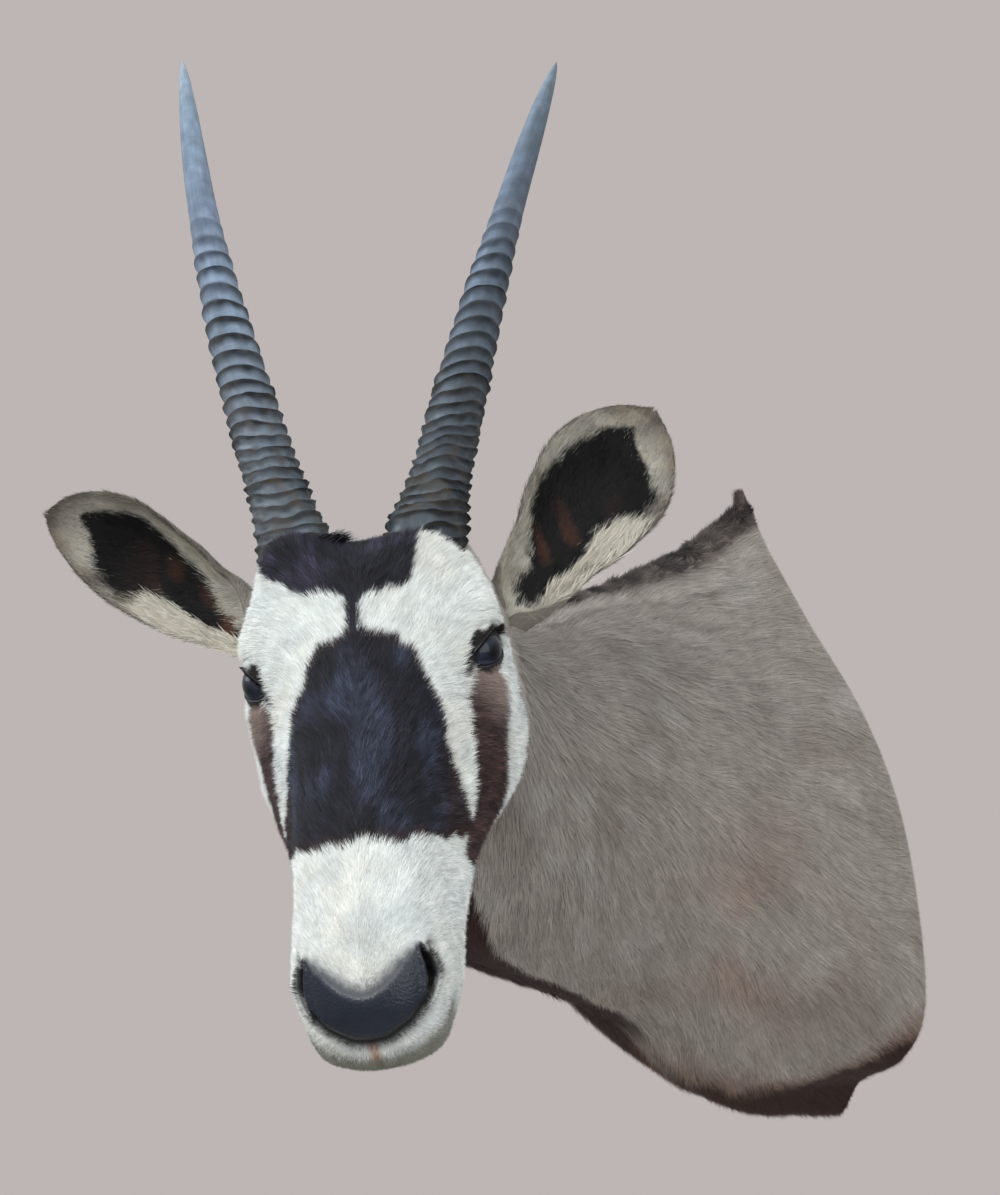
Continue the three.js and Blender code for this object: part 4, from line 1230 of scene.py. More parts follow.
def build_horn(name, horn):
    """A tapering round horn. The ring count grows with the length, fastest at the base, and
    is moved so that rings lie lower in front and on the inner side. Within a ring the radius
    rises slowly to a lip at its upper edge and drops back above it; the lip is dark."""
    rows, columns = detail((820, 80))
    h = np.concatenate([np.linspace(-0.056, 0.74, int(rows * 0.88)),
                        np.linspace(0.745, 1, int(rows * 0.12))])
    angle = np.arange(columns) / columns * 2 * math.pi
    seed = horn["seed"]
    _, axis, side, up = horn_line(horn)
    front = np.sign(up @ OUT)
    hh, aa = np.meshgrid(h, angle, indexing="ij")
    round_ = np.stack([np.cos(aa), np.sin(aa), hh * 16], -1)
    taper = rows_at(HORN_TAPER[:, 0], HORN_TAPER, np.clip(h, 0, 1))[:, 1]
    low = ramp(0.35, 0.05, hh)
    tilt = (0.45 + 0.75 * low) * front * np.sin(aa) - (0.40 - 0.15 * low) * np.cos(aa)
    level = hh + tilt * taper[:, None] / np.linalg.norm(axis)
    along = np.linspace(-0.2, 1.2, 3000)
    pace = 27 + 6 * ramp(0.6, 0.2, along) + 24 * ramp(0.34, 0.12, along)
    run = np.cumsum(pace) * (along[1] - along[0])
    crowd = ramp(0.30, 0.05, hh)
    count = np.interp(level, along, run)
    count = count + (0.14 + 0.26 * crowd) * noise(round_ * [1, 1, 1.4], 0.9, seed)
    count = count + 0.16 * crowd * noise(round_ * [2, 2, 2.5], 0.7, seed + 5)
    index = np.floor(count)
    phase = count - index
    lip = np.maximum(ramp(0.30, 0.0, phase), ramp(0.25, 1.0, phase))
    strength = 0.9 + 0.4 * noise(np.stack([index, index * 0, index * 0], -1) + 0.5, 1.0, seed + 1)
    strength = strength * (1 + 0.45 * noise(round_ * [1.8, 1.8, 2], 0.6, seed + 2))
    strength = np.clip(strength, 0.35, 1.7)
    fade = ramp(0.66, 0.40, hh)
    knob = 1 + 0.3 * crowd * np.maximum(0, -np.cos(aa) + 0.3 * front * np.sin(aa))
    depth = (2.7 + 0.5 * crowd) * fade * strength * knob
    split_ = np.sin(count * 4 * math.pi + 4 * noise(round_ * [1.5, 1.5, 1], 0.7, seed + 3))
    radius = (taper * (0.5 + 0.5 * ramp(-0.056, -0.030, h)))[:, None] + depth * (lip - 0.42)
    radius += 0.45 * crowd * split_ + 0.15 * noise(round_ * [3, 3, 8], 0.4, seed + 4)
    radius = np.maximum(radius, 0.5)
    at = horn_at(horn, h)
    p = at[:, None] + radius[..., None] * (
        side * np.cos(aa)[..., None] + up * np.sin(aa)[..., None])
    # colour: pale in the lower half of a ring, dark towards its lip and in the groove above; this
    # banding is painted light and shade, as of light from above on the ring steps
    ragged = phase + 0.12 * noise(round_ * [2, 2, 3], 0.8, seed + 10)
    pale = ramp(0.03, 0.30, phase) * ramp(0.92, 0.36, ragged)
    pale = mix(pale, 0.62, ramp(0.45, 0.68, hh) * 0.85)
    pale = np.clip(mix(0.36, pale * 1.15, np.clip(strength, 0.6, 1.2)), 0, 1)
    colour = mix(shade_at(HORN_DEEP, hh), shade_at(HORN_PALE, hh), pale[..., None])
    fine = noise(round_ * [9, 9, 1.2], 1.0, seed + 6)
    broad = noise(round_ * [1.5, 1.5, 2.0], 0.8, seed + 7)
    light = 1 + 0.14 * fine + 0.22 * broad + 0.25 * crowd * noise(round_ * [3, 3, 6], 0.8, seed + 9)
    # tone darkens the whole horn, the left one partly as painted shade; the next lines darken its outer
    # side as painted shade
    colour = colour * (light * horn["tone"])[..., None]
    outer = ramp(-0.1, 0.9, np.cos(aa) + 0.3 * front * np.sin(aa))
    colour = colour * (1 - horn["painted_side_shade"] * outer)[..., None]
    stain = ramp(0.0, 0.6, noise(round_ * [2, 2, 3], 0.7, seed + 8)) * ramp(0.34, 0.1, hh)
    colour = blend_in(colour, tint(72, 60, 46), 0.36 * stain)
    points, faces = capped(p)
    faces = [f[:, ::-1] for f in faces]
    made = piece("horn_" + name + "_sheath", points, faces, HORN, with_ends(colour))
    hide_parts("horn_" + name)


for horn_name, horn in HORNS.items():
    build_horn(horn_name, horn)


# ------------------------------------------------------------------ eyes


def build_eye(name, side):
    """A glass ball with a low corneal dome: its radius plus a round hill about the gaze."""
    rows, columns = 60, 72
    lat = np.linspace(0.02, math.pi - 0.02, rows)
    lon = np.arange(columns) / columns * 2 * math.pi
    th, ph = np.meshgrid(lat, lon, indexing="ij")
    mirror = np.array([1, side, 1])
    a, b, c = EYE_LONG * mirror, EYE_HIGH * mirror, EYE_OUT * mirror
    r = EYE_R + CORNEA_RISE * bell(th, 0.75)
    long_, high = np.sin(th) * np.cos(ph), np.sin(th) * np.sin(ph)
    e = np.cos(th)[..., None] * c + long_[..., None] * a + high[..., None] * b
    points, faces = capped(from_head(EYE_AT * mirror + r[..., None] * e))
    bar = np.hypot(long_ * 0.62, high * 1.25)
    iris = np.where(th > math.pi / 2, 1.0, np.clip(bar / 0.8, 0, 1))
    faces = facing(points, faces, points[faces[0][:, 0]] - points.mean(0))
    values = {"iris": with_ends(iris)}
    made = piece("glass_eye_" + name, points, faces, GLASS, None, values)
    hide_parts("eye_" + name)


for side_name, side in SIDES.items():
    build_eye(side_name, side)


def lid_curve(angle, side, radius):
    """The lid's edge on a ball about the eye: an almond of the two half axes."""
    a = LID_LONG * np.cos(angle)
    b = np.where(np.sin(angle) > 0, LID_HIGH, LID_LOW) * np.sin(angle)
    c = np.sqrt(np.clip(1 - a * a - b * b, 0.0, 1))
    mirror = np.array([1, side, 1])
    e = a[..., None] * EYE_LONG + b[..., None] * EYE_HIGH + c[..., None] * EYE_OUT
    return EYE_AT * mirror + radius * unit(e) * mirror


def build_lid(name, side):
    """A thin dark roll along the lid's edge: a small circle carried round the almond."""
    rows, columns = 120, 12
    angle = np.arange(rows) / rows * 2 * math.pi
    path = from_head(lid_curve(angle, side, EYE_R + CORNEA_RISE))
    out = unit(path - from_head(EYE_AT * [1, side, 1]))
    across = np.cross(unit(np.roll(path, -1, 0) - np.roll(path, 1, 0)), out)
    turn = np.arange(columns) / columns * 2 * math.pi
    thick = 1.15 + 0.45 * (np.sin(angle) > 0)
    p = path[:, None] + thick[:, None, None] * (
        out[:, None] * np.cos(turn)[None, :, None] + across[:, None] * np.sin(turn)[None, :, None])
    i, j = np.meshgrid(np.arange(rows), np.arange(columns), indexing="ij")
    k, m = (i + 1) % rows, (j + 1) % columns
    faces = np.stack([i * columns + j, k * columns + j, k * columns + m, i * columns + m], -1)
    faces = faces.reshape(-1, 4)
    flat = p.reshape(-1, 3)
    from_path = flat - np.repeat(path, columns, 0)
    faces = facing(flat, [faces], from_path[faces[:, 0]])
    shade = np.broadcast_to(tint(30, 27, 30), flat.shape)
    piece("lid_roll_" + name, flat, faces, SKIN, shade, {"bare": np.ones(len(flat))})


for side_name, side in SIDES.items():
    build_lid(side_name, side)

# ------------------------------------------------------------------ ears
ear_grids = {}


def build_ear(name, ear):
    """The leaf's outer and inner arcs joined at the rims into one closed skin."""
    rows, half = detail((150, 56))
    u = np.concatenate([np.linspace(0.0, 0.9, int(rows * 0.75)),
                        np.linspace(0.905, 1.0, int(rows * 0.25))])
    v_out = np.linspace(-1, 1, half)
    v = np.concatenate([v_out, v_out[::-1][1:-1]])
    inside = np.concatenate([np.zeros(half), np.ones(half - 2)])
    thick = EAR_THICK * np.sqrt(np.clip(1 - v**6, 0, 1))
    thinner = np.where(u > 0.9, mix(1, 0.4, (u - 0.9) / 0.1), 1)
    less = np.where(inside > 0, thick, 0.0)[None] * thinner[:, None]
    p = ear_surface(ear, u, v[None], less)
    uu, vv = np.meshgrid(u, v, indexing="ij")
    ii = np.broadcast_to(inside[None], uu.shape)
    colour, _ = ear_coat(name, uu, vv, ii, p)
    face = np.array(ear["face"])
    points, faces = capped(p)
    on_outer = np.tile(np.arange(len(v)) < half - 1, len(u) - 1)[:, None]
    faces = facing(points, faces, -face * on_outer)
    made = piece("ear_" + name + "_skin", points, faces, SKIN,
                 with_ends(colour) * EAR_SKIN_SHADE, {"bare": np.zeros(len(points))})
    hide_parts("ear_" + name)
    n = grid_normals(p)
    if (n[:, : half // 2 * 2 - 1].reshape(-1, 3) @ face).sum() > 0:
        n = -n
    ear_grids[name] = dict(p=p, n=n, u=uu, v=vv, inside=ii)


for ear_name, ear in EARS.items():
    build_ear(ear_name, ear)

# ------------------------------------------------------------------ hair


def scatter(fields, weight, count, rng):
    """Places spread over a grid: a quad is drawn with a chance equal to its area times its
    weight, a place inside it evenly, and every field is blended between its four corners."""
    columns = fields["p"].shape[1]
    around = (np.arange(columns) + 1) % columns

    def corners(f):
        """A field's values at the four corners of every quad."""
        return f[:-1], f[1:], f[1:, around], f[:-1, around]

    a, b, c, d = corners(fields["p"])
    area = 0.5 * (np.linalg.norm(np.cross(b - a, c - a), axis=-1)
                  + np.linalg.norm(np.cross(c - a, d - a), axis=-1))
    chance = area * sum(corners(weight)) / 4
    run = np.cumsum(chance.ravel())
    count = int(count * FUR_SHARE)
    pick = np.searchsorted(run, rng.random(count) * run[-1])
    pick = np.minimum(pick, len(run) - 1)
    f, g = rng.random(count), rng.random(count)
    i, j = np.divmod(pick, columns)
    k = (j + 1) % columns
    shares = [(1 - f) * (1 - g), f * (1 - g), f * g, (1 - f) * g]
    places = [(i, j), (i + 1, j), (i + 1, k), (i, k)]
    return {key: sum(field[place] * (share[:, None] if field.ndim == 3 else share)
                     for place, share in zip(places, shares))
            for key, field in fields.items()}


TIP_GLOW = 1.12  # a hair's tip is paler than its middle


def strands(name, root, normal, flow, length, width, lift, colour, rng, bend=0.0):
    """Flat tapering hairs. A straight one is a single triangle on the skin reaching along the
    flow, raised by the lift angle; a bent one has a lower stretch and a tip laid further over
    by the bend angle. Each turns at random about its length."""
    count = len(root)
    flow = unit(flow - (flow * normal).sum(-1, keepdims=True) * normal)
    sway = np.cross(normal, flow)
    flow = unit(flow + sway * (rng.normal(0, 0.16, count))[:, None])
    side = np.cross(normal, flow)
    reach = np.cos(lift)[:, None] * flow + np.sin(lift)[:, None] * normal
    roll = rng.normal(0, 0.35, count)
    rise = np.cross(reach, side)
    side = np.cos(roll)[:, None] * side + np.sin(roll)[:, None] * rise
    half = side * (width / 2)[:, None]
    root = root - normal * 0.4
    shade = colour * (1 + 0.10 * rng.normal(0, 1, count))[:, None]
    shade = np.clip(shade, 0.002, 1)
    if bend:
        knee = root + reach * (length * 0.55)[:, None]
        low = lift - bend
        further = np.cos(low)[:, None] * flow + np.sin(low)[:, None] * normal
        tip = knee + further * (length * 0.45)[:, None]
        points = np.stack([root - half, root + half, knee + half * 0.7, knee - half * 0.7, tip], 1)
        order = np.array([[0, 1, 2], [0, 2, 3], [3, 2, 4]])
        depth = np.array([0.72, 0.72, 0.95, 0.95, TIP_GLOW])
        cell = np.array([[0.1, 0.1], [0.9, 0.1], [0.8, 0.6], [0.2, 0.6], [0.5, 0.95]])
    else:
        tip = root + reach * length[:, None]
        points = np.stack([root - half, root + half, tip], 1)
        order = np.array([[0, 1, 2]])
        depth = np.array([0.75, 0.75, TIP_GLOW])
        cell = np.array([[0.1, 0.1], [0.9, 0.1], [0.5, 0.9]])
    points[..., 1] = np.minimum(points[..., 1], -HAIR_WALL_GAP)
    each = points.shape[1]
    faces = (np.arange(count)[:, None, None] * each + order).reshape(-1, 3)
    colours = np.clip(shade[:, None] * depth[:, None], 0, 1).reshape(-1, 3)
    made = piece(name, points.reshape(-1, 3), faces, HAIR, colours, smooth=False)
    a, b, c = points[:, 0], points[:, 1], points[:, 2]
    if (np.cross(b - a, c - a) * normal).sum() < 0:
        made.data.flip_normals()
    per = int(math.ceil(math.sqrt(count)))
    corner = np.stack([np.arange(count) % per, np.arange(count) // per], -1)
    uv = ((corner[:, None] + cell) / per).reshape(-1, 2)
    layer = made.data.uv_layers.new(name="OFBake")
    index = np.empty(len(made.data.loops), np.int32)
    made.data.loops.foreach_get("vertex_index", index)
    layer.uv.foreach_set("vector", uv[index].astype(np.float32).ravel())
    return made


def split(fields, parts):
    """The same fields dealt out into equal parts, by every nth place."""
    return [{k: v[i::parts] for k, v in fields.items()} for i in range(parts)]


def head_flow(h, p, girth):
    """Hair direction on the head: up the face and away from its middle line, by an angle that
    grows with girth and wanders with noise; round the nose pad it turns outwards."""
    down_side = np.gradient(p, axis=1)
    down_side = np.where((h[..., 1] < 0)[..., None], -down_side, down_side)
    down_side = unit(down_side)
    wander = 22 * noise(h, 38.0, 101) + 10 * noise(h, 15.0, 102)
    lean = np.radians(18 + 46 * ramp(10, 120, girth) + wander)
    flow = np.sin(lean)[..., None] * down_side - np.cos(lean)[..., None] * ALONG
    pad_middle = from_head([[352, 0, -24]])[0]
    away = unit(p - pad_middle)
    lip = ramp(325, 352, h[..., 0]) * ramp(-18, -30, h[..., 2])
    return unit(mix(flow, away, lip[..., None]))


rng = np.random.default_rng(2024)
# hairs scattered for each part; those that would grow out of bare or hidden skin are dropped
HEAD_HAIRS, NECK_HAIRS, MANE_HAIRS, WITHERS_HAIRS = 330000, 440000, 17000, 3600
TUFT_HAIRS, EAR_HAIRS, MARGIN_HAIRS = 700, 62000, 5200
LASHES = {"left": 420, "right": 160}
head_fields = dict(
    p=head_p, n=head_n, h=head_h, girth=head_girth, bare=head_bare,
    flow=head_flow(head_h, head_p, head_girth), neck=outside_neck(head_p),
)


def head_hair():
    """Short hair on the head, shorter near the nose pad and the eyes."""
    free = (1 - ramp(0.2, 0.5, head_bare)) * (outside_neck(head_p) > -6)
    free = free * (outside_horns(head_p) > -1) * (head_h[..., 0] > -84)
    free = free * (1 + 0.6 * ramp(290, 320, head_h[..., 0]))
    roots = scatter(head_fields, free, HEAD_HAIRS, rng)
    keep = (roots["bare"] < 0.45) & (roots["neck"] > 0.5) & (outside_horns(roots["p"]) > 0.5)
    keep &= eye_metric(roots["h"])[0] > 1.1
    roots = {k: v[keep] for k, v in roots.items()}
    for number, part in enumerate(split(roots, 2)):
        h = part["h"]
        count = len(h)
        long_ = np.interp(h[:, 0], [-80, 0, 60, 150, 260, 330, 372], [11, 9.5, 8.5, 8, 8, 5, 3.2])
        long_ = np.minimum(long_, 2.2 + 0.5 * np.maximum(pad_metric(h)[1], 0))
        ring = eye_metric(h)[0]
        long_ = np.where(ring < 2.2, np.minimum(long_, 3.0 + 4.0 * (ring - 1.0)), long_)
        long_ = long_ * rng.uniform(0.7, 1.25, count)
        clump = streaks(part["p"], unit(part["flow"]), 2.6, 3.0, 201)
        lift = np.radians(rng.uniform(8, 22, count) + 7 * clump)
        colour, _ = head_coat(h, part["girth"])
        # painted sheen: dark hairs get stronger streaks and a random brightness per hair
        deep = ramp(0.16, 0.03, colour.mean(-1))
        painted_sheen = np.exp(0.4 * deep * rng.normal(0, 1, count))
        colour = colour * ((1 + (0.13 + 0.75 * deep) * clump) * painted_sheen)[:, None]
        strands(f"head_hair_{number + 1}", part["p"], part["n"], part["flow"], long_,
                rng.uniform(0.36, 0.58, count), lift, colour, rng)


head_hair()

FLOW_FROM = [from_head([-14, 62, -40]), from_head([-14, -62, -40])]


def neck_flow(p, n, base_across):
    """Hair direction on the neck: away from a point above the ear's root on its own side,
    mixed across the crest, and turned down a little by gravity."""
    left = unit(p - FLOW_FROM[0])
    right = unit(p - FLOW_FROM[1])
    flow = mix(right, left, ramp(-25, 25, base_across)[..., None])
    flow = flow + np.array([0, 0.15, -0.25])
    twist = 0.35 * noise(p, 60.0, 111) + 0.15 * noise(p, 22.0, 112)
    flow = unit(flow - (flow * n).sum(-1, keepdims=True) * n)
    return unit(flow + np.cross(n, flow) * twist[..., None])


across = neck_loops(neck_t[:, 0], np.arange(neck_t.shape[1]) / neck_t.shape[1])[..., 0]
neck_fields = dict(
    p=neck_p, n=neck_n, t=neck_t, share=neck_share_round, across=across,
    flow=neck_flow(neck_p, neck_n, across), head=outside_head(neck_p),
)
open_ = (outside_head(neck_p) > -6) * ramp(-1, 0, neck_t)


def neck_hair():
    """Hair on the neck and shoulder, kept clear of the wall at the rear edge."""
    roots = scatter(neck_fields, open_ * 1.0, NECK_HAIRS, rng)
    keep = (roots["head"] > 0.5) & (roots["t"] > 0.001)
    roots = {k: v[keep] for k, v in roots.items()}
    for number, part in enumerate(split(roots, 3)):
        p, t, flow = part["p"], part["t"], part["flow"]
        count = len(p)
        long_ = np.interp(t, [0, 0.4, 0.8, NECK_END], [17, 18, 15, 11])
        long_ = long_ * rng.uniform(0.65, 1.25, count)
        room = np.clip(-p[:, 1] + 1.0, 2.0, None) / flow[:, 1].clip(0.2)
        long_ = np.where(flow[:, 1] > 0.2, np.minimum(long_, room), long_)
        way = unit(flow)
        clump = streaks(p, way, 2.8, 5.0, 211) + 0.6 * streaks(p, way, 7.0, 9.0, 212)
        lift = np.radians(np.clip(rng.uniform(5, 15, count) + 6 * clump, 1, 30))
        colour = neck_coat(p, t, part["share"], part["across"] > 0)
        colour = colour * (1 + 0.15 * clump)[:, None]
        strands(f"neck_hair_{number + 1}", p, part["n"], flow, long_,
                rng.uniform(0.42, 0.7, count), lift, colour, rng)


neck_hair()


def mane():
    """Longer dark hair standing along the crest, and a paler ruffle lying below it."""
    weight = ramp(0.044, 0.024, neck_share_round) * ramp(0.74, 0.68, neck_t) * open_
    roots = scatter(neck_fields, weight, MANE_HAIRS, rng)
    count = len(roots["p"])
    p, n = roots["p"], roots["n"]
    wander = np.stack([noise(p, 9.0, 221), noise(p, 9.0, 222), noise(p, 9.0, 223)], -1)
    flow = np.array([0.25, 0.55, 0.0]) + 0.9 * wander
    edge = roots["share"] / 0.038
    length = rng.uniform(7, 13, count) * (1 - 0.3 * edge) * (1 + 0.25 * noise(p, 12.0, 224))
    patchy = np.clip(0.8 + 0.5 * noise(p, 17.0, 227), 0, 1)
    dark = ramp(0.9, 0.45, edge + 0.4 * noise(p, 6.0, 225)) * patchy
    colour = blend_in(tint(140, 128, 120), tint(34, 29, 28), dark)
    spot = bell(np.linalg.norm(p - np.array([4.0, -28, 268]), axis=-1), 14)
    colour = blend_in(colour, tint(48, 36, 34), 0.8 * spot)
    lift = np.radians(mix(40, 18, edge) + 12 * noise(p, 7.0, 226) + rng.normal(0, 7, count))
    strands("mane", p, n, flow, length, rng.uniform(0.5, 0.8, count), lift, colour, rng,
            bend=0.35)


WITHERS_AT, SPIKE_TIP = np.array([5.0, -5.0, 277.0]), np.array([0.0, -3.0, 303.0])


def withers_tuft():
    """A spike of hair at the rear end of the crest, its strands leaning together."""
    near_top = bell(np.linalg.norm(neck_p - WITHERS_AT, axis=-1), 6.5) * (neck_p[..., 2] > 250)
    roots = scatter(neck_fields, near_top, WITHERS_HAIRS, rng)
    p = roots["p"]
    count = len(p)
    share = rng.uniform(0.3, 1, count)
    spread = rng.normal(0, 1, (count, 3)) * (0.5 + 1.6 * (1 - share))[:, None]
    goal = SPIKE_TIP + spread
    reach = goal - p
    length = np.linalg.norm(reach, axis=-1) * share
    way = unit(reach)
    rise = np.clip((way * roots["n"]).sum(-1), -0.2, 0.999)
    colour = blend_in(tint(112, 98, 92), tint(54, 42, 40), ramp(0, 1, rng.random(count)))
    strands("withers_tuft", p, roots["n"], way, length, rng.uniform(0.6, 0.9, count),
            np.arcsin(rise), colour, rng)


TUFT_AT = np.array([3.0, -25.0, 1.0])


def forehead_tuft():
    """A small standing tuft of black hair on the inner side of the right horn."""
    weight = bell(np.linalg.norm(head_h - TUFT_AT, axis=-1), 5.0)
    weight = weight * (outside_horns(head_p) > -0.5)
    roots = scatter(head_fields, weight, TUFT_HAIRS, rng)
    count = len(roots["p"])
    colour = np.broadcast_to(tint(30, 28, 34), (count, 3)) * rng.uniform(0.7, 1.3, (count, 1))
    strands("forehead_tuft", roots["p"], roots["n"], LEFT - 0.7 * ALONG + rng.normal(0, 0.1, (count, 3)),
            rng.uniform(10, 19, count), np.full(count, 0.9), np.radians(rng.uniform(20, 45, count)),
            colour, rng, bend=0.3)


def ear_hair(name, side):
    """Short hair over the ear, growing to its tip and out to its rims, and long white hair
    sweeping inwards from the lower margin."""
    g = ear_grids[name]
    ahead = unit(np.gradient(g["p"], axis=0))
    across = np.cross(ahead, g["n"])
    fields = dict(g, ahead=ahead, across=across)
    body = np.minimum(outside_head(g["p"]), outside_neck(g["p"]))
    weight = (body > -2) * (0.5 + 0.5 * ramp(0.05, 0.3, g["u"])) * (1 + 0.3 * g["inside"])
    roots = scatter(fields, weight, EAR_HAIRS, rng)
    u, v, p = roots["u"], np.clip(roots["v"], -1, 1), roots["p"]
    count = len(u)
    inside = ramp(0.3, 0.7, roots["inside"])
    u_near, v_near = u + rng.normal(0, 0.012, count), v + rng.normal(0, 0.06, count)
    colour, dark = ear_coat(name, u_near, v_near, inside, p)
    spread = np.sign(v)[:, None] * roots["across"] * np.sign(
        (roots["across"] * (p - p.mean(0))).sum(-1) * v + 1e-9)[:, None]
    flow = roots["ahead"] + 0.35 * spread + 0.25 * noise(p, 14.0, 231)[:, None] * roots["across"]
    length = mix(6.0, mix(8.0, 5.0, dark), inside) * rng.uniform(0.7, 1.3, count)
    length = length * np.where(u > 0.9, 0.6, 1)
    clump = streaks(p, unit(flow), 2.2, 3.0, 232)
    lift = np.radians(rng.uniform(6, 18, count) + 6 * clump)
    strands(f"ear_{name}_hair", p, roots["n"], flow, length, rng.uniform(0.35, 0.55, count),
            lift, colour * (1 + 0.14 * clump)[:, None], rng)
    # the long margin hair
    reach = g["v"] * side
    inner = np.interp(g["u"], *np.array(MARGIN[name]).T)
    weight = g["inside"] * ramp(0.16, 0.26, g["u"]) * ramp(0.72, 0.60, g["u"])
    weight = weight * ramp(inner - 0.06, inner + 0.04, reach) * (reach < 0.97) * (body > 0)
    roots = scatter(fields, weight, MARGIN_HAIRS, rng)
    p = roots["p"]
    count = len(p)
    turn = mix(0.15, 0.75, ramp(0.3, 0.7, roots["u"]))
    flow = roots["ahead"] + turn[:, None] * inward_of(name, roots) * rng.uniform(0.3, 1.2, (count, 1))
    colour = blend_in(tint(222, 218, 206), tint(170, 150, 124), 0.5 * rng.random(count))
    strands(f"ear_{name}_margin", p, roots["n"], flow, rng.uniform(10, 22, count),
            rng.uniform(0.45, 0.75, count), np.radians(rng.uniform(8, 26, count)), colour, rng,
            bend=0.3)


MARGIN = {
    "left": [[0, 0.4], [0.29, 0.36], [0.42, 0.55], [0.6, 0.42], [0.72, 0.5], [0.8, 0.8]],
    "right": [[0, 0.8], [0.34, 0.76], [0.46, 0.74], [0.58, 0.64], [0.7, 0.64], [0.8, 0.86]],
}


def inward_of(name, roots):
    """From a place on the ear's inside towards its open middle, square to its length."""
    at, ahead = ear_line(EARS[name], np.clip(roots["u"], 0, 1))
    way = at + np.array(EARS[name]["face"]) * 8 - roots["p"]
    return unit(way - (way * ahead).sum(-1, keepdims=True) * ahead)


def lashes(name, side):
    """Dark lashes along the upper lid, longest towards its rear corner, fanning outwards."""
    count = int(LASHES[name] * max(FUR_SHARE, 0.5))
    angle = np.radians(rng.uniform(28, 176 if side > 0 else 118, count))
    root = from_head(lid_curve(angle, side, LASH_R))
    mirror = np.array([1, side, 1])
    out = (EYE_OUT * mirror) @ HEAD_AXES
    spread = unit(root - from_head(EYE_AT * mirror))
    way = unit(out + 0.9 * spread + np.array([0, 0, -0.25]) + rng.normal(0, 0.12, (count, 3)))
    length = mix(4.0, 11.0 if side > 0 else 4.0, ramp(60, 165, np.degrees(angle)))
    length = length * rng.uniform(0.7, 1.1, count)
    shade = np.broadcast_to(tint(26, 19, 18), (count, 3)) * rng.uniform(0.8, 1.2, (count, 1))
    strands("lashes_" + name, root, np.broadcast_to(out, (count, 3)), way, length,
            np.full(count, 0.5), np.arcsin(np.clip((way * out).sum(-1), -1, 0.98)), shade, rng,
            bend=0.35)


mane()
withers_tuft()
forehead_tuft()
for side_name, side in SIDES.items():
    ear_hair(side_name, side)
    lashes(side_name, side)

# ------------------------------------------------------------------ staples round the rear


STAPLE_GAP = 27


def staples():
    """Wire staples holding the folded hide: each a flat bar with two short legs, as boxes."""
    edge = neck_p[0]
    middle = edge.mean(0)
    step = np.linalg.norm(np.diff(edge[:, [0, 2]], axis=0), axis=1)
    run = np.concatenate([[0], np.cumsum(step)])
    count = int(run[-1] / STAPLE_GAP)
    at = np.interp(np.linspace(0, run[-1], count, endpoint=False) + 6, run, np.arange(len(run)))
    where = edge[at.astype(int)]
    inward = unit((middle - where) * [1, 0, 1])
    where = where + inward * 13
    along = np.stack([-inward[:, 2], inward[:, 0] * 0, inward[:, 0]], -1)
    tilt = rng.normal(0, 0.25, count)
    along = unit(along + inward * tilt[:, None])
    across = np.cross(along, [0, 1, 0])
    box = np.array([[x, y, z] for x in (-1, 1) for y in (-1, 1) for z in (-1, 1)], float)
    corner = np.array(
        [[0, 1, 3, 2], [4, 6, 7, 5], [0, 4, 5, 1], [2, 3, 7, 6], [0, 2, 6, 4], [1, 5, 7, 3]])
    points, faces, base = [], [], 0
    bar, leg = [5.5, 0.35, 0.45], [0.4, 1.2, 0.45]
    for centre, size in (([0, 0], bar), ([-5.1, -1], leg), ([5.1, -1], leg)):
        q = box * size + [centre[0], centre[1], 0]
        world = (
            where[:, None] * [1, 0, 1] + q[None, :, :1] * along[:, None]
            + q[None, :, 2:] * across[:, None] + (q[None, :, 1:2] - 0.5) * np.array([0, 1.0, 0]))
        points.append(world.reshape(-1, 3))
        faces.append((np.arange(count)[:, None, None] * 8 + corner + base).reshape(-1, 4))
        base += count * 8
    piece("hide_staples", np.concatenate(points), [np.concatenate(faces)], STEEL, smooth=False)


staples()

# ------------------------------------------------------------------ carried-over parts
for node_name, shown in frame["nodes"].items():
    metal = "screw" in node_name or node_name == "hanger_plate"
    if metal or node_name == "back_board":
        shown.data.materials.clear()
        shown.data.materials.append(STEEL if metal else PLYWOOD)

# ------------------------------------------------------------------ floor, light and camera


CAMERA_AT = (1.3417, -1.4347, 0.236)
CAMERA_TURN, CAMERA_ROLL = math.radians(50.0), math.radians(8.79)
CAMERA_LENS = 63.26
FLOOR_RADIUS, FLOOR_MIDDLE, FLOOR_LEVEL = 1.7, -0.35, -1.2  # metres


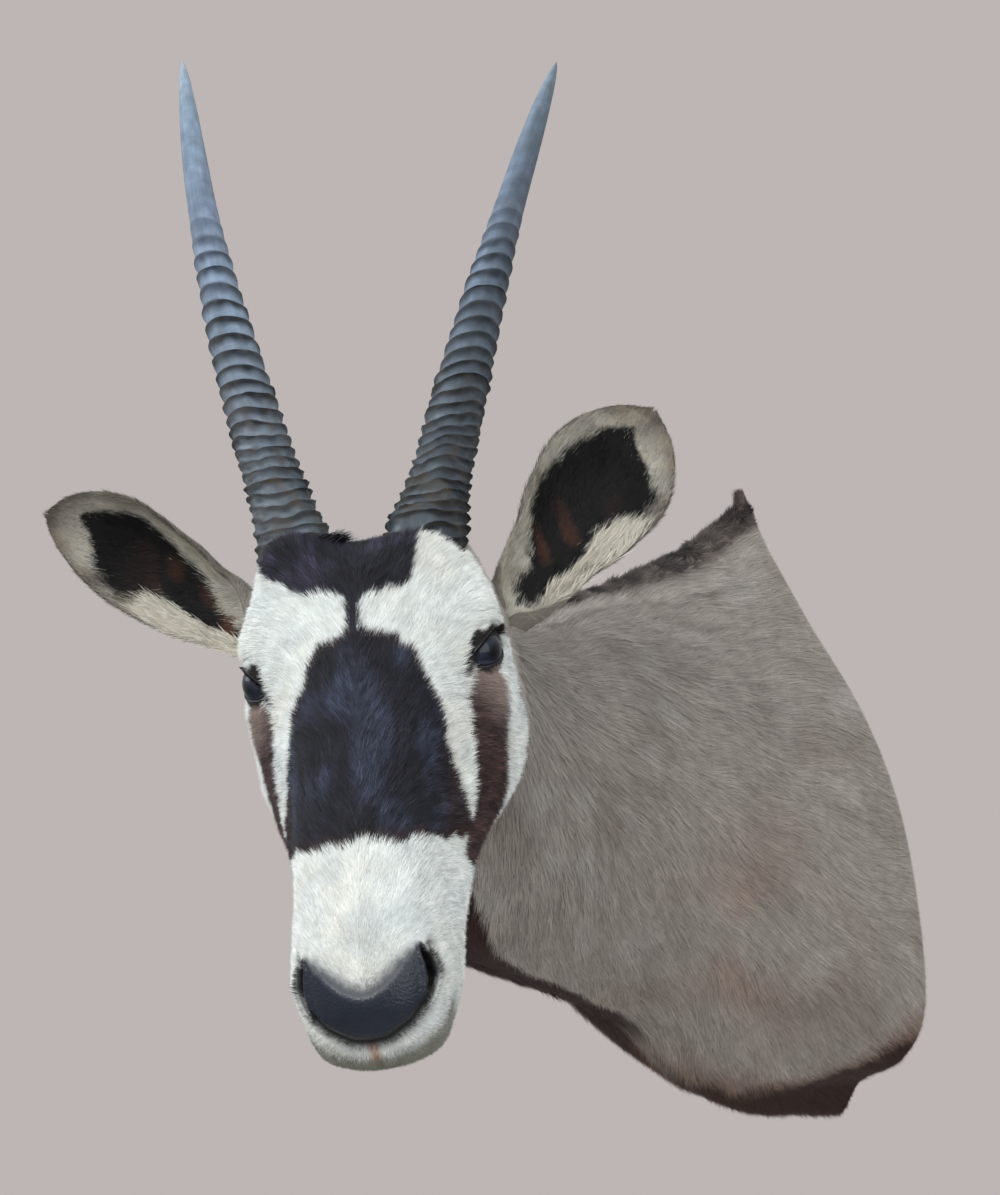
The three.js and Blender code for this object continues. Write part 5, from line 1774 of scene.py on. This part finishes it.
def stage():
    """A plain pale floor below, a pale room, soft lamps and the camera."""
    made = bpy.data.materials.new("pale_floor")
    made.use_nodes = True
    shader = made.node_tree.nodes["Principled BSDF"]
    shader.inputs["Base Color"].default_value = (0.55, 0.52, 0.5, 1)
    shader.inputs["Roughness"].default_value = 0.9
    mesh = bpy.data.meshes.new("floor")
    turn = np.arange(64) / 64 * 2 * math.pi
    across, back = FLOOR_RADIUS * np.cos(turn), FLOOR_MIDDLE + FLOOR_RADIUS * np.sin(turn)
    ring = np.stack([across, back, np.full(len(turn), FLOOR_LEVEL)], -1)
    mesh.from_pydata(ring.tolist(), [], [list(range(64))])
    mesh.materials.append(made)
    floor = bpy.data.objects.new("floor", mesh)
    bpy.context.scene.collection.objects.link(floor)

    world = bpy.data.worlds.new("room")
    bpy.context.scene.world = world
    world.use_nodes = True
    node, join = links(world.node_tree)
    seen = world.node_tree.nodes["Background"]
    seen.inputs["Color"].default_value = (*tint(189, 182, 180), 1)
    lit = node("ShaderNodeBackground", in_Color=(0.92, 0.96, 1.0, 1))
    way = node("ShaderNodeTexCoord")
    split_ = node("ShaderNodeSeparateXYZ")
    join(way.outputs["Generated"], split_.inputs[0])
    height = node("ShaderNodeMapRange", in_From_Min=-0.7, in_From_Max=0.8, in_To_Min=0.10,
                  in_To_Max=0.95)
    join(split_.outputs["Z"], height.inputs["Value"])
    join(height.outputs[0], lit.inputs["Strength"])
    path = node("ShaderNodeLightPath")
    choose = node("ShaderNodeMixShader")
    join(path.outputs["Is Camera Ray"], choose.inputs[0])
    join(lit.outputs[0], choose.inputs[1])
    join(seen.outputs[0], choose.inputs[2])
    join(choose.outputs[0], world.node_tree.nodes["World Output"].inputs["Surface"])

    lamp_target = Vector((0.22, -0.55, 0.2))
    for name, place, size, power in (
        ("key", (1.6, -2.6, 1.7), 1.4, 46),
        ("fill", (2.4, -0.6, 0.6), 1.6, 16),
        ("rim", (-1.4, -2.0, 1.4), 1.4, 20),
    ):
        lamp = bpy.data.lights.new(name, "AREA")
        lamp.size = size
        lamp.energy = power
        lamp.color = (0.98, 1.0, 1.0)
        body = bpy.data.objects.new(name, lamp)
        bpy.context.scene.collection.objects.link(body)
        body.location = place
        body.rotation_mode = "QUATERNION"
        body.rotation_quaternion = (lamp_target - Vector(place)).to_track_quat("-Z", "Y")

    right = Vector((math.cos(CAMERA_TURN), math.sin(CAMERA_TURN), 0))
    back_ = Vector((math.sin(CAMERA_TURN), -math.cos(CAMERA_TURN), 0))
    up = Vector((0, 0, 1))
    x = math.cos(CAMERA_ROLL) * right - math.sin(CAMERA_ROLL) * up
    y = math.sin(CAMERA_ROLL) * right + math.cos(CAMERA_ROLL) * up
    camera = bpy.data.cameras.new("camera")
    camera.lens = CAMERA_LENS
    camera.clip_start = 0.05
    holder = bpy.data.objects.new("camera", camera)
    bpy.context.scene.collection.objects.link(holder)
    at = CAMERA_AT
    holder.matrix_world = Matrix(
        (
            (x.x, y.x, back_.x, at[0]),
            (x.y, y.y, back_.y, at[1]),
            (x.z, y.z, back_.z, at[2]),
            (0, 0, 0, 1),
        )
    )
    bpy.context.scene.camera = holder
    bpy.context.scene.view_settings.view_transform = "Standard"


stage()

bpy.context.view_layer.update()
